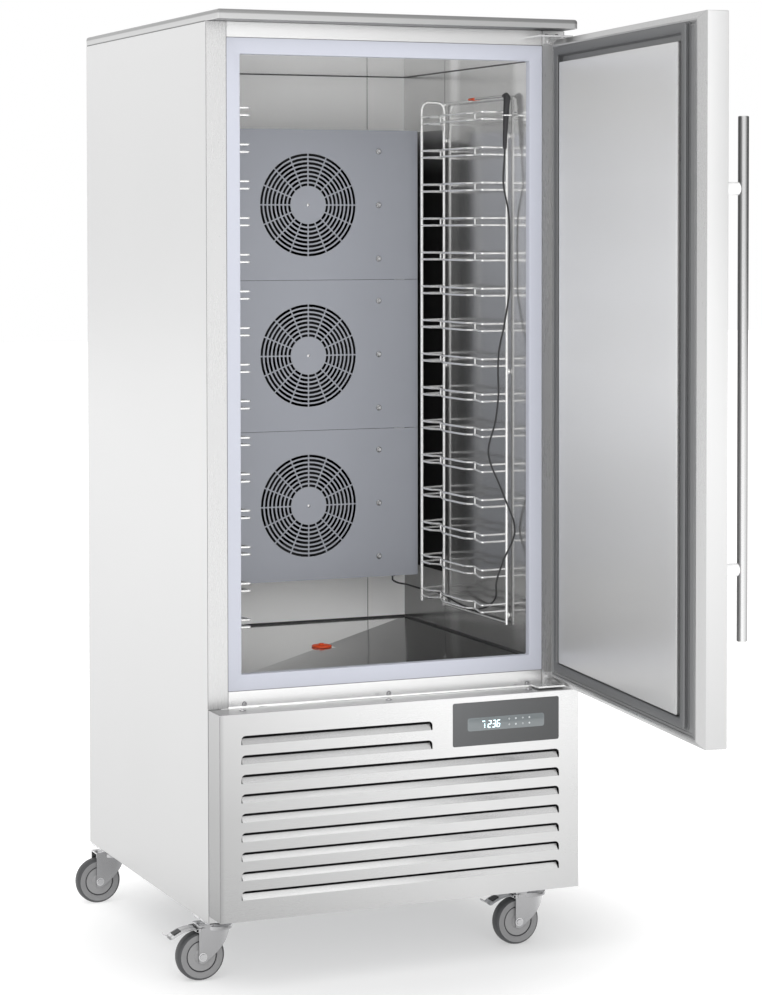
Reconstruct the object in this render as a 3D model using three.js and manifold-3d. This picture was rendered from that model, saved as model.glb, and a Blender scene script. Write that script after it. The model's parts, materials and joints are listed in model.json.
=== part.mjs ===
// Blast chiller: an insulated stainless cabinet on casters, with one door, three evaporator fans,
// two wire racks with fifteen levels, a core probe on a lead, and a cooling unit behind a louvred front.
// Millimetres. X runs to the right, Y to the back and Z up, with the floor at Z = 0.
// Before the last lines, X = 0 is the left side panel and Y = 0 the front plane of the casing.
import * as THREE from "three";
import { mergeVertices } from "three/addons/utils/BufferGeometryUtils.js";
import Module from "manifold-3d";

const wasm = await Module();
wasm.setup();

// ---------- driving dimensions ----------

const CLEARANCE = 0.3; // between pieces that touch
const SHEET = 1.5; // stainless sheet
const WIDTH = 790; // over the side panels
const DEPTH = 790; // front plane to rear panel
const HEIGHT = 1937; // floor to the top of the cover
const WHEEL_RADIUS = 50;
const CASING_BOTTOM = 2 * WHEEL_RADIUS + 28; // also the height of a caster with its plate
const FRONT_OVERHANG = 68; // top cover, fascia and closed door in front of the casing
const LID_HEIGHT = 19;
const LID_CORNER_RADIUS = 12;
const PANEL_RETURN = 15; // folded edges of the side panels

const FASCIA_BOTTOM = CASING_BOTTOM + 16;
const FASCIA_TOP = 555;
const LOUVRE_COUNT = 9;
const SHORT_LOUVRES = 2; // the top ones stop short of the control panel
const LOUVRE_PITCH = 38.5;
const LOUVRE_HEIGHT = 18;
const LOUVRE_DEPTH = 10;
const LOUVRE_MARGIN = 45; // from the fascia's sides
const LOUVRE_TOP_MARGIN = 43; // from the fascia's top
const CONTROL_WIDTH = 241;
const CONTROL_HEIGHT = 89;
const CONTROL_MARGIN = 46; // from the fascia's right side
const CONTROL_TOP_MARGIN = 11;
const CONTROL_THICKNESS = 6;
const WINDOW_WIDTH = 174;
const WINDOW_HEIGHT = 27;

const FRAME_LEFT = 43; // width of the steel surround left of the door frame
const FRAME_RIGHT = 51;
const FRAME_FACE = 29; // width of the plastic frame's face at the sides
const FRAME_FACE_Z = 32.3; // and at the top and bottom
const FRAME_BOTTOM = 589.3;
const FRAME_TOP = 1886.5;
const FRAME_DEPTH = 16;

const CHAMBER_REVEAL = 8; // the chamber is wider than the frame's opening by this on the left
const CHAMBER_REVEAL_RIGHT = 14;
const CEILING_STEP = 2;
const FLOOR_STEP = 8;
const FLOOR_FALL = 9; // the floor falls to the drain
const CHAMBER_BACK = DEPTH - 120;
const FOAM_BOTTOM = 560;
const DRAIN_Y = 372;
const DRAIN_RADIUS = 17;
const DRAIN_SEAT = 7; // flat floor round the drain
const DRAIN_PIPE_WALL = 3;

const FAN_COVER_Y = 445;
const FAN_COVER_WIDTH = 522;
const FAN_COVER_TOP = 1725;
const FAN_COVER_HEIGHT = 328.5; // one of three
const FAN_COVER_GAP = 0.8;
const FAN_COVER_RETURN = 18;
const FAN_COUNT = 3;
const GRILLE_RADIUS = 114;
const GRILLE_HUB_RADIUS = 40;
const GRILLE_RINGS = 3;
const GRILLE_SPOKES = 12;
const GRILLE_BAR = 3.2;
const FAN_RADIUS = 104;
const FAN_BLADES = 5;
const FAN_DEPTH = 22;
const BLADE_HALF = 27; // half the width of the blade's sheet
const BLADE_RISE = 10; // its front edge lies this far ahead of the middle
const BLADE_CAMBER = 3;
const BLADE_SHEET = 1.6;
const SHAFT_RADIUS = 4;
const COVER_SCREW_HALF = 167; // from the fan axis to the screw lines
const COIL_FRONT = 545;
const COIL_HALF_WIDTH = 245;
const COIL_BOTTOM = 762;
const COIL_TOP = 1702;

const LEVELS = 15;
const LEVEL_PITCH = 74.4;
const TOP_LEVEL = 1754; // the upper wire of the top level
const SLOT = 15; // upper to lower wire of a level
const WIRE_RADIUS = 2.5;
const LINK_RADIUS = 1.7;
const POST_RADIUS = 3.6; // corner radius of the square uprights
const RACK_HALF = 260; // from the chamber's middle to the rails
const NOTCH = 16; // depth of the notches in the rails
const NOTCH_FROM_END = 65; // from a rail's end to its notch
const NOTCH_LEAD = 50; // the rail starts to lean out this far before its rear notch
const POST_WALL_GAP = 7; // from a wall post's axis to the chamber wall
const RACK_FRONT = 115;
const RACK_REAR = 420;
const POST_FRONT = 121;
const POST_REAR = 438;
const RACK_TOP = 1784;
const RACK_BOTTOM = 668;
const RACK_FOOT = 672;
const STUD_RADIUS = 2;

const NEEDLE_RADIUS = 1.8;
const NEEDLE_LENGTH = 178;
const HANDLE_RADIUS = 6.2;
const HANDLE_END = 4; // its half width at the cable
const HOOK_RADIUS = 1.8;
const CABLE_RADIUS = 2;

const HINGE_X = WIDTH - 20;
const HINGE_Y = -34;
const DOOR_REST_ANGLE = 83; // the door stands open by this
const DOOR_LEFT = 4; // free edge of the closed door
const DOOR_RIGHT = WIDTH - 2;
const DOOR_BOTTOM = 565;
const DOOR_TOP = 1899;
const DOOR_BACK_GAP = 12; // from the closed door's inner face to the casing, filled by the gasket
const DOOR_BEVEL = 14;
const PROFILE_MARGIN = 16; // from the door's edge to the plastic profile
const PROFILE_HEIGHT = 3;
const PANEL_MARGIN_X = 80;
const PANEL_MARGIN_Z = 51;
const PANEL_PROUD = 10; // the polished inner panel stands out by this
const GASKET_WIDTH = 22;
const GASKET_HEIGHT = 11;
const HINGE_PIN_RADIUS = 5;
const HINGE_PLATE = 4;
const GRIP_LENGTH = 960;
const GRIP_RADIUS = 10;
const GRIP_BOTTOM = 752;
const GRIP_EDGE = 51; // from the door's free edge
const GRIP_STANDOFF = 51; // from the door's face to the bar's axis
const STANDOFF_RADIUS = 7;
const STANDOFF_FROM_END = 132;

const CASTER_INSET = 42; // swivel axis from the cabinet's sides
const CASTER_FRONT_Y = 66;
const CASTER_REAR_Y = DEPTH - CASTER_INSET;
const CASTER_PLATE = 84;
const CASTER_PLATE_LENGTH = 82;
const CASTER_PLATE_THICKNESS = 4;
const WHEEL_WIDTH = 30;
const CASTER_TRAIL = 38;
const FORK_SHEET = 3;
const AXLE_RADIUS = 6;
const PEDAL_LENGTH = 74;
const PEDAL_WIDTH = 40;
const CROWN_REACH = 8; // the fork's crown covers the wheel's top by this
const PIVOT_RADIUS = 3;
const PIVOT_Z = 2 * WHEEL_RADIUS + 5;

const BASE_WALL = 34; // height of the chassis pan's edge
const COMPRESSOR_RADIUS = 82;
const COMPRESSOR_HEIGHT = 205;

// ---------- colours ----------

const STEEL = { color: 0xd9d9d8, roughness: 0.36, metalness: 1 };
const BRIGHT_STEEL = { color: 0xe4e4e3, roughness: 0.2, metalness: 1 };
const FRAME_PLASTIC = { color: 0xd6d7ea, roughness: 0.5, metalness: 0 };
const DARK_PLASTIC = { color: 0x2c2e31, roughness: 0.45, metalness: 0 };
const GREY_PLASTIC = { color: 0x6c6e70, roughness: 0.5, metalness: 0 };
const COVER_GREY = { color: 0x8f929b, roughness: 0.45, metalness: 0.6 };
const FOAM = { color: 0xe8dcae, roughness: 0.95, metalness: 0 };
const ALUMINIUM = { color: 0xc3c6c8, roughness: 0.45, metalness: 1 };
const BLACK = { color: 0x151515, roughness: 0.55, metalness: 0 };
const RED = { color: 0xd23a12, roughness: 0.5, metalness: 0 };
const COPPER = { color: 0xb87348, roughness: 0.35, metalness: 1 };
const GLASS_DARK = { color: 0x3a4146, roughness: 0.15, metalness: 0 };
const TYRE_GREY = { color: 0x77787a, roughness: 0.6, metalness: 0 };

// ---------- solids ----------

function solid(geometry) {
  const bare = new THREE.BufferGeometry();
  bare.setAttribute("position", geometry.getAttribute("position"));
  if (geometry.index) bare.setIndex(geometry.index);
  const merged = mergeVertices(bare, 1e-4);
  return new wasm.Manifold(
    new wasm.Mesh({
      numProp: 3,
      vertProperties: new Float32Array(merged.attributes.position.array),
      triVerts: new Uint32Array(merged.index.array),
    }),
  );
}

function geometryOf(shape) {
  const mesh = shape.getMesh();
  const geometry = new THREE.BufferGeometry();
  geometry.setAttribute("position", new THREE.BufferAttribute(mesh.vertProperties, 3));
  geometry.setIndex(new THREE.BufferAttribute(mesh.triVerts, 1));
  const flat = geometry.toNonIndexed();
  flat.computeVertexNormals();
  return flat;
}

const join = (first, ...others) => others.reduce((a, b) => a.add(b), first);
const cut = (first, ...others) => others.reduce((a, b) => a.subtract(b), first);

function box(x0, x1, y0, y1, z0, z1) {
  const geometry = new THREE.BoxGeometry(x1 - x0, y1 - y0, z1 - z0);
  geometry.translate((x0 + x1) / 2, (y0 + y1) / 2, (z0 + z1) / 2);
  return solid(geometry);
}

// A flat outline of [a, b] points, extruded from low to high along one axis:
// for "z" the points are x, y; for "y" they are x, z; for "x" they are y, z.
function prism(axis, points, low, high, holes = []) {
  const outline = new THREE.Shape(points.map(([a, b]) => new THREE.Vector2(a, b)));
  holes.forEach((hole) => {
    outline.holes.push(new THREE.Path(hole.map(([a, b]) => new THREE.Vector2(a, b))));
  });
  const geometry = new THREE.ExtrudeGeometry(outline, { depth: high - low, bevelEnabled: false });
  geometry.translate(0, 0, low);
  if (axis === "y") {
    geometry.rotateX(Math.PI / 2);
    geometry.translate(0, low + high, 0);
  }
  if (axis === "x") {
    geometry.rotateX(Math.PI / 2);
    geometry.rotateZ(Math.PI / 2);
  }
  return solid(geometry);
}

function cylinder(axis, radius, [x, y, z], low, high, sides = 16, endRadius = radius) {
  const geometry = new THREE.CylinderGeometry(endRadius, radius, high - low, sides);
  geometry.translate(0, (low + high) / 2, 0);
  if (axis === "z") geometry.rotateX(Math.PI / 2);
  if (axis === "x") geometry.rotateZ(-Math.PI / 2);
  geometry.translate(axis === "x" ? 0 : x, axis === "y" ? 0 : y, axis === "z" ? 0 : z);
  return solid(geometry);
}

// A profile of [radius, height] points turned round an axis through the centre.
function turned(axis, profile, [x, y, z], sides = 24) {
  const geometry = new THREE.LatheGeometry(
    profile.map(([r, h]) => new THREE.Vector2(r, h)),
    sides,
  );
  if (axis === "z") geometry.rotateX(Math.PI / 2);
  if (axis === "x") geometry.rotateZ(-Math.PI / 2);
  geometry.translate(x, y, z);
  return solid(geometry);
}

// Straight runs of wire with mitred corners, as a path for ExtrudeGeometry. It lies in one plane.
class MitredPath extends THREE.Curve {
  constructor(points, planeNormal) {
    super();
    this.points = points.map((p) => new THREE.Vector3(...p));
    this.planeNormal = new THREE.Vector3(...planeNormal).normalize();
  }

  getPoint(t) {
    return this.points[Math.round(t * (this.points.length - 1))].clone();
  }

  getSpacedPoints() {
    return this.points.map((p) => p.clone());
  }

  computeFrenetFrames() {
    const along = this.points.slice(1).map((p, i) => p.clone().sub(this.points[i]).normalize());
    const tangents = this.points.map((_, i) => {
      const before = along[Math.max(i - 1, 0)];
      const after = along[Math.min(i, along.length - 1)];
      return before.clone().add(after).normalize();
    });
    const binormals = this.points.map(() => this.planeNormal.clone());
    const normals = tangents.map((tangent, i) => {
      const run = along[Math.min(i, along.length - 1)];
      const stretch = 1 / Math.max(tangent.dot(run), 0.3);
      return this.planeNormal.clone().cross(tangent).multiplyScalar(stretch);
    });
    return { tangents, normals, binormals };
  }
}

function polygon(radius, sides) {
  return Array.from({ length: sides }, (_, i) => {
    const angle = (2 * Math.PI * (i + 0.5)) / sides;
    return [radius * Math.cos(angle), radius * Math.sin(angle)];
  });
}

function wire(points, planeNormal, radius = WIRE_RADIUS, sides = 4) {
  const section = new THREE.Shape(polygon(radius, sides).map(([a, b]) => new THREE.Vector2(a, b)));
  const geometry = new THREE.ExtrudeGeometry(section, {
    steps: points.length - 1,
    extrudePath: new MitredPath(points, planeNormal),
    bevelEnabled: false,
  });
  return solid(geometry);
}

// A round tube on a smooth curve through its points.
function tube(points, radius, sides, steps) {
  const curve = new THREE.CatmullRomCurve3(points.map((p) => new THREE.Vector3(...p)), false, "centripetal");
  const section = new THREE.Shape(polygon(radius, sides).map(([a, b]) => new THREE.Vector2(a, b)));
  return solid(new THREE.ExtrudeGeometry(section, { steps, extrudePath: curve, bevelEnabled: false }));
}

// A frame in the X-Z plane: an outer rectangle with an opening, from y0 to y1.
function ring(outer, inner, y0, y1) {
  const corners = ([x0, x1, z0, z1]) => [[x0, z0], [x1, z0], [x1, z1], [x0, z1]];
  return prism("y", corners(outer), y0, y1, [corners(inner).reverse()]);
}

const inset = ([x0, x1, z0, z1], dx, dz = dx) => [x0 + dx, x1 - dx, z0 + dz, z1 - dz];

// A body through outlines of four corners, each a list of [x, y, z] in the same order.
function loft(...outlines) {
  const geometry = new THREE.BufferGeometry();
  geometry.setAttribute("position", new THREE.Float32BufferAttribute(outlines.flat(2), 3));
  const last = 4 * (outlines.length - 1);
  const faces = [0, 2, 1, 0, 3, 2, last, last + 1, last + 2, last, last + 2, last + 3];
  for (let low = 0; low < last; low += 4) {
    for (let i = 0; i < 4; i++) {
      const next = (i + 1) % 4;
      faces.push(low + i, low + next, low + next + 4, low + i, low + next + 4, low + i + 4);
    }
  }
  geometry.setIndex(faces);
  return solid(geometry);
}

const rectangle = ([x0, x1, y0, y1], z) => [[x0, y0, z], [x1, y0, z], [x1, y1, z], [x0, y1, z]];
const corners = ([x0, x1, z0, z1], y) => [[x0, y, z0], [x0, y, z1], [x1, y, z1], [x1, y, z0]];

const cabinet = new THREE.Group();

function add(name, shape, look, parent = cabinet, origin = [0, 0, 0]) {
  const geometry = geometryOf(shape);
  geometry.translate(-origin[0], -origin[1], -origin[2]);
  const mesh = new THREE.Mesh(geometry, new THREE.MeshStandardMaterial(look));
  mesh.name = name;
  parent.add(mesh);
  return mesh;
}

// ---------- places worked out from the dimensions ----------

const MIDDLE = WIDTH / 2;
const LID_BOTTOM = HEIGHT - LID_HEIGHT;
const PANEL_TOP = LID_BOTTOM - CLEARANCE;
const FRAME_OUTER = [FRAME_LEFT, WIDTH - FRAME_RIGHT, FRAME_BOTTOM, FRAME_TOP];
const FRAME_INNER = inset(FRAME_OUTER, FRAME_FACE, FRAME_FACE_Z);
const LINER_FRONT = FRAME_DEPTH + CLEARANCE;
const CHAMBER_LEFT = FRAME_INNER[0] - CHAMBER_REVEAL;
const CHAMBER_RIGHT = FRAME_INNER[1] + CHAMBER_REVEAL_RIGHT;
const CEILING = FRAME_INNER[3] + CEILING_STEP;
const FLOOR_EDGE = FRAME_INNER[2] - FLOOR_STEP;
const DRAIN_TOP = FLOOR_EDGE - FLOOR_FALL;
const PIPE_RADIUS = DRAIN_RADIUS - 1 + DRAIN_PIPE_WALL;
const FACE = -FRONT_OVERHANG;
const SKIN = SHEET + CLEARANCE;

// ---------- casing ----------

function sidePanel(left) {
  // Seen from above: a sheet with its front, rear and inner edges folded in.
  const x = (d) => (left ? d : WIDTH - d);
  const outline = [
    [0, SHEET + CLEARANCE],
    [0, DEPTH - SHEET - CLEARANCE],
    [PANEL_RETURN, DEPTH - SHEET - CLEARANCE],
    [PANEL_RETURN, DEPTH - 2 * SHEET - CLEARANCE],
    [SHEET, DEPTH - 2 * SHEET - CLEARANCE],
    [SHEET, 2 * SHEET + CLEARANCE],
    [PANEL_RETURN, 2 * SHEET + CLEARANCE],
    [PANEL_RETURN, SHEET + CLEARANCE],
  ].map(([d, y]) => [x(d), y]);
  return prism("z", outline, CASING_BOTTOM, PANEL_TOP);
}

function frontSurround() {
  const outer = [0, WIDTH, FASCIA_TOP + CLEARANCE, PANEL_TOP];
  const opening = inset(FRAME_OUTER, -CLEARANCE);
  return ring(outer, opening, 0, SHEET);
}

function rearPanel() {
  const sheet = box(0, WIDTH, DEPTH - SHEET, DEPTH, CASING_BOTTOM, PANEL_TOP);
  const slotCount = 8;
  const slots = Array.from({ length: slotCount }, (_, i) => {
    const z = CASING_BOTTOM + 90 + i * 30;
    return box(MIDDLE - 180, MIDDLE + 180, DEPTH - 2 * SHEET, DEPTH + SHEET, z, z + 8);
  });
  return cut(sheet, ...slots);
}

function topCover() {
  const outline = (edge) => {
    const right = WIDTH - edge;
    const front = FACE + edge;
    const radius = LID_CORNER_RADIUS - edge;
    const corner = [0, 30, 60, 90].map((degrees) => {
      const a = THREE.MathUtils.degToRad(degrees);
      return [right - radius + radius * Math.sin(a), front + radius - radius * Math.cos(a)];
    });
    return [[edge, front], ...corner, [right, DEPTH - edge], [edge, DEPTH - edge]];
  };
  const block = prism("z", outline(0), LID_BOTTOM, HEIGHT);
  const hollow = prism("z", outline(2 * SHEET), LID_BOTTOM - SHEET, HEIGHT - SHEET);
  return cut(block, hollow);
}

const LINER_OUTER = [CHAMBER_LEFT - SHEET, CHAMBER_RIGHT + SHEET, FLOOR_EDGE - SHEET, CEILING + SHEET];

// The chamber with its floor creased to the drain, grown on every side by the same amount.
function chamberBlock(grow, front) {
  const plan = [CHAMBER_LEFT - grow, CHAMBER_RIGHT + grow, front, CHAMBER_BACK + grow];
  const seat = DRAIN_RADIUS + DRAIN_SEAT + grow;
  return loft(
    rectangle([MIDDLE - seat, MIDDLE + seat, DRAIN_Y - seat, DRAIN_Y + seat], DRAIN_TOP - grow),
    rectangle(plan, FLOOR_EDGE - grow),
    rectangle(plan, CEILING + grow),
  );
}

const drainHole = (radius) =>
  cylinder("z", radius, [MIDDLE, DRAIN_Y, 0], CASING_BOTTOM, FLOOR_EDGE, 16);

function innerLiner() {
  const shell = cut(chamberBlock(SHEET, LINER_FRONT), chamberBlock(0, LINER_FRONT - SHEET));
  return cut(shell, drainHole(DRAIN_RADIUS));
}

function insulationFoam() {
  const back = DEPTH - SHEET - 2 * CLEARANCE;
  const side = PANEL_RETURN + CLEARANCE;
  const top = PANEL_TOP - 2;
  const core = box(SKIN, WIDTH - SKIN, 2 * SHEET + 1, back - SHEET, FOAM_BOTTOM, top);
  const block = join(core, box(side, WIDTH - side, SKIN, back, FOAM_BOTTOM, top));
  const frameSeat = box(
    FRAME_LEFT - CLEARANCE,
    WIDTH - FRAME_RIGHT + CLEARANCE,
    -SHEET,
    LINER_FRONT,
    FRAME_BOTTOM - CLEARANCE,
    FRAME_TOP + CLEARANCE,
  );
  return cut(block, frameSeat, chamberBlock(SKIN, 0), drainHole(PIPE_RADIUS + CLEARANCE));
}

function doorFrame() {
  const face = ring(FRAME_OUTER, FRAME_INNER, 0, FRAME_DEPTH);
  const heater = ring(inset(FRAME_OUTER, 12), inset(FRAME_OUTER, 15), -1, 1.2);
  return cut(face, heater);
}

function baseFrame() {
  const outer = [SKIN, WIDTH - SKIN, 2 * SKIN + CLEARANCE, DEPTH - 2 * SKIN - CLEARANCE];
  const bottom = CASING_BOTTOM;
  const pan = box(...outer, bottom, bottom + BASE_WALL);
  const [x0, x1, y0, y1] = outer;
  const hollow = box(x0 + 2, x1 - 2, y0 + 2, y1 - 2, bottom + 2, bottom + BASE_WALL + 1);
  const front = box(x0 + 2, x1 - 2, y0 - 1, y0 + 3, bottom + 12, bottom + BASE_WALL + 1);
  const deck = [SKIN, WIDTH - SKIN].map((x, i) => {
    const inner = i ? x - 28 : x + 28;
    const low = Math.min(x, inner);
    const high = Math.max(x, inner);
    return join(
      box(low, high, y0, y0 + 28, bottom, FOAM_BOTTOM - CLEARANCE),
      box(low, high, y1 - 28, y1, bottom, FOAM_BOTTOM - CLEARANCE),
      box(low, high, y0, y1, FOAM_BOTTOM - 14, FOAM_BOTTOM - CLEARANCE),
    );
  });
  return join(cut(pan, hollow, front), ...deck);
}

// ---------- front fascia with its louvres ----------

const LOUVRE_LEFT = LOUVRE_MARGIN;
const CONTROL = {
  x0: WIDTH - CONTROL_MARGIN - CONTROL_WIDTH,
  x1: WIDTH - CONTROL_MARGIN,
  z0: FASCIA_TOP - CONTROL_TOP_MARGIN - CONTROL_HEIGHT,
  z1: FASCIA_TOP - CONTROL_TOP_MARGIN,
};

function louvre(index) {
  const top = FASCIA_TOP - LOUVRE_TOP_MARGIN - index * LOUVRE_PITCH;
  const bottom = top - LOUVRE_HEIGHT;
  const right = index < SHORT_LOUVRES ? CONTROL.x0 - LOUVRE_MARGIN : WIDTH - LOUVRE_MARGIN;
  // Seen from the side: the mouth is open, and the pressed sheet leans back from the bottom edge.
  const mouth = prism(
    "x",
    [
      [FACE - 1, bottom],
      [FACE, bottom],
      [FACE + LOUVRE_DEPTH, top],
      [FACE - 1, top],
    ],
    LOUVRE_LEFT,
    right,
  );
  const pressed = prism(
    "x",
    [
      [FACE, bottom - SHEET],
      [FACE + SHEET, bottom - SHEET],
      [FACE + LOUVRE_DEPTH + SHEET, top],
      [FACE, top],
    ],
    LOUVRE_LEFT - SHEET,
    right + SHEET,
  );
  const airGap = box(LOUVRE_LEFT, right, FACE + SHEET, FACE + LOUVRE_DEPTH + 2 * SHEET, top - 3.5, top + 3);
  return { mouth, pressed, airGap };
}

function frontFascia() {
  const outer = box(0, WIDTH, FACE, -CLEARANCE, FASCIA_BOTTOM, FASCIA_TOP);
  const hollow = box(SHEET, WIDTH - SHEET, FACE + SHEET, 1, FASCIA_BOTTOM + SHEET, FASCIA_TOP - SHEET);
  const louvres = Array.from({ length: LOUVRE_COUNT }, (_, i) => louvre(i));
  const panel = join(cut(outer, hollow), ...louvres.map((l) => l.pressed));
  const seat = box(
    CONTROL.x0 - CLEARANCE,
    CONTROL.x1 + CLEARANCE,
    FACE - 1,
    FACE + SHEET + 1,
    CONTROL.z0 - CLEARANCE,
    CONTROL.z1 + CLEARANCE,
  );
  return cut(panel, ...louvres.map((l) => l.mouth), ...louvres.map((l) => l.airGap), seat);
}

const WINDOW = {
  x0: CONTROL.x0 + 33,
  x1: CONTROL.x0 + 33 + WINDOW_WIDTH,
  z0: CONTROL.z0 + 30,
  z1: CONTROL.z0 + 30 + WINDOW_HEIGHT,
};

function controlPanel() {
  const { x0, x1, z0, z1 } = CONTROL;
  const plate = box(x0, x1, FACE - 0.8, FACE + CONTROL_THICKNESS, z0, z1);
  const housing = box(x0 + 8, x1 - 8, FACE + 4, FACE + 34, z0 + 8, z1 - 8);
  const rim = CLEARANCE;
  const seat = box(WINDOW.x0 - rim, WINDOW.x1 + rim, FACE - 1, FACE + 3, WINDOW.z0 - rim, WINDOW.z1 + rim);
  return cut(join(plate, housing), seat);
}

const displayWindow = () => box(WINDOW.x0, WINDOW.x1, FACE - 0.6, FACE + 3 - CLEARANCE, WINDOW.z0, WINDOW.z1);

// ---------- hinges ----------

function hingeBracket(top) {
  const away = top ? 1 : -1;
  const doorEnd = top ? DOOR_TOP : DOOR_BOTTOM;
  const near = doorEnd + away * 3;
  const far = near + away * HINGE_PLATE;
  const [z0, z1] = [Math.min(near, far), Math.max(near, far)];
  const plate = box(HINGE_X - 62, WIDTH - 3, HINGE_Y - 13, -CLEARANCE, z0, z1);
  const foot = box(WIDTH - 48, WIDTH - 3, -4, -CLEARANCE, z0 - (top ? 12 : 0), z1 + (top ? 0 : 22));
  const end = doorEnd - away * 16;
  const pin = cylinder("z", HINGE_PIN_RADIUS, [HINGE_X, HINGE_Y, 0], Math.min(end, z1 - 1), Math.max(end, z0 + 1), 16);
  const screws = [WIDTH - 38, WIDTH - 13].map((x) =>
    cylinder("y", 4, [x, 0, top ? z0 - 6 : z1 + 12], -6.4, -3, 8),
  );
  return join(plate, foot, pin, ...screws);
}

// ---------- fan covers, fans and evaporator ----------

const coverTop = (index) => FAN_COVER_TOP - index * FAN_COVER_HEIGHT;
const fanCentre = (index) => coverTop(index) - FAN_COVER_HEIGHT / 2;
const COVER_LEFT = MIDDLE - FAN_COVER_WIDTH / 2;
const COVER_RIGHT = MIDDLE + FAN_COVER_WIDTH / 2;
const COVER_BACK = FAN_COVER_Y + SHEET;
const GLAND = { x: 600, y: 457 };
const GLAND_NECK = 4;
const GLAND_RIM = 5.5;
const GLAND_DROP = 2.2;

// One opening of the grille: a sector of a ring, its sides parallel to the spokes.
function grilleSlot(ringIndex, spokeIndex, centreZ) {
  const step = (GRILLE_RADIUS - GRILLE_HUB_RADIUS) / GRILLE_RINGS;
  const inner = GRILLE_HUB_RADIUS + ringIndex * step;
  const outer = inner + step - GRILLE_BAR;
  const half = Math.PI / GRILLE_SPOKES;
  const middle = 2 * half * (spokeIndex + 0.5);
  const at = (radius, side) => {
    const angle = middle + side * (half - GRILLE_BAR / 2 / radius);
    return [MIDDLE + radius * Math.cos(angle), centreZ + radius * Math.sin(angle)];
  };
  return [at(inner, -1), at(outer, -1), at(outer, 1), at(inner, 1)];
}

function fanCover(index) {
  const first = index === 0;
  const last = index === FAN_COUNT - 1;
  const z1 = coverTop(index);
  const z0 = z1 - FAN_COVER_HEIGHT + FAN_COVER_GAP;
  const z = fanCentre(index);
  const back = FAN_COVER_Y + FAN_COVER_RETURN;
  const block = box(COVER_LEFT, COVER_RIGHT, FAN_COVER_Y, back, z0, z1);
  const hollow = box(
    COVER_LEFT + SHEET,
    COVER_RIGHT - SHEET,
    COVER_BACK,
    back + 1,
    last ? z0 + SHEET : z0 - 1,
    first ? z1 - SHEET : z1 + 1,
  );
  const rivet = cylinder("y", 4, [MIDDLE, 0, z], FAN_COVER_Y - 1.2, COVER_BACK - 0.5, 8);
  const slots = [];
  for (let r = 0; r < GRILLE_RINGS; r++) {
    for (let s = 0; s < GRILLE_SPOKES; s++) {
      slots.push(prism("y", grilleSlot(r, s, z), FAN_COVER_Y - 1, COVER_BACK + 1));
    }
  }
  const cover = join(cut(block, hollow, ...slots), rivet);
  if (!last) return cover;
  const glandHole = cylinder("z", GLAND_NECK + CLEARANCE, [GLAND.x, GLAND.y, 0], z0 - 1, z0 + SHEET + 1, 12);
  return cut(cover, glandHole);
}

const COVERS_BOTTOM = FAN_COVER_TOP - FAN_COUNT * FAN_COVER_HEIGHT + FAN_COVER_GAP;

function cableGland() {
  const profile = [
    [0, -GLAND_DROP],
    [GLAND_RIM, -GLAND_DROP],
    [GLAND_RIM, -CLEARANCE],
    [GLAND_NECK, -CLEARANCE],
    [GLAND_NECK, SHEET + CLEARANCE],
    [GLAND_RIM, SHEET + CLEARANCE],
    [GLAND_RIM, 9],
    [0, 11],
  ];
  return turned("z", profile, [GLAND.x, GLAND.y, COVERS_BOTTOM], 12);
}

const SHAFT_BORE = SHAFT_RADIUS + CLEARANCE;
const ROTOR_FRONT = FAN_COVER_Y + FAN_COVER_RETURN + 2;
const MOTOR_FRONT = ROTOR_FRONT + FAN_DEPTH + 4;

function fanMotor(index) {
  const z = fanCentre(index);
  const body = cylinder("y", 36, [MIDDLE, 0, z], MOTOR_FRONT, MOTOR_FRONT + 38, 20);
  const shaft = cylinder("y", SHAFT_RADIUS, [MIDDLE, 0, z], ROTOR_FRONT + 1.5, MOTOR_FRONT + 1, 10);
  const arms = [45, 135, 225, 315].map((degrees) => {
    const a = THREE.MathUtils.degToRad(degrees);
    const at = (radius, y) => [MIDDLE + radius * Math.cos(a), y, z + radius * Math.sin(a)];
    const foot = GRILLE_RADIUS + 14;
    const points = [
      at(30, MOTOR_FRONT + 30),
      at(foot - 3, MOTOR_FRONT + 30),
      at(foot - 3, COVER_BACK + CLEARANCE),
    ];
    const side = [-Math.sin(a), 0, Math.cos(a)];
    return wire(points, side, 3.5);
  });
  return join(body, shaft, ...arms);
}

// One blade along X: a curved, pitched sheet cut to its outline, narrow at the hub and swept at the tip.
function fanBlade(radius) {
  const front = [-1, -0.5, 0, 0.5, 1].map((share) => {
    return [BLADE_RISE * share + BLADE_CAMBER * (1 - share * share), BLADE_HALF * share];
  });
  const back = front.map(([y, z]) => [y + BLADE_SHEET, z]).reverse();
  const sheet = prism("x", [...front, ...back], 16, radius + 1);
  const tip = [-20, -5, 11, 26].map((z) => [Math.sqrt(radius * radius - z * z), z]);
  const outline = [[15, -9], [radius * 0.6, -18], ...tip, [radius * 0.6, 22], [15, 9]];
  return sheet.intersect(prism("y", outline, -FAN_DEPTH, FAN_DEPTH));
}

function fanRotor([x, z], frontY, radius, blades) {
  const hub = turned(
    "y",
    [[0, 0], [20, 0], [24, 4], [24, FAN_DEPTH], [SHAFT_BORE, FAN_DEPTH], [SHAFT_BORE, 1.2], [0, 1.2]],
    [x, frontY, z],
    14,
  );
  const wings = Array.from({ length: blades }, (_, i) => {
    return fanBlade(radius).rotate([0, (360 * i) / blades, 0]).translate([x, frontY + FAN_DEPTH / 2, z]);
  });
  const bore = cylinder("y", SHAFT_BORE, [x, 0, z], frontY + 1.2, frontY + FAN_DEPTH + 9, 14);
  return cut(join(hub, ...wings), bore);
}

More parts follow.
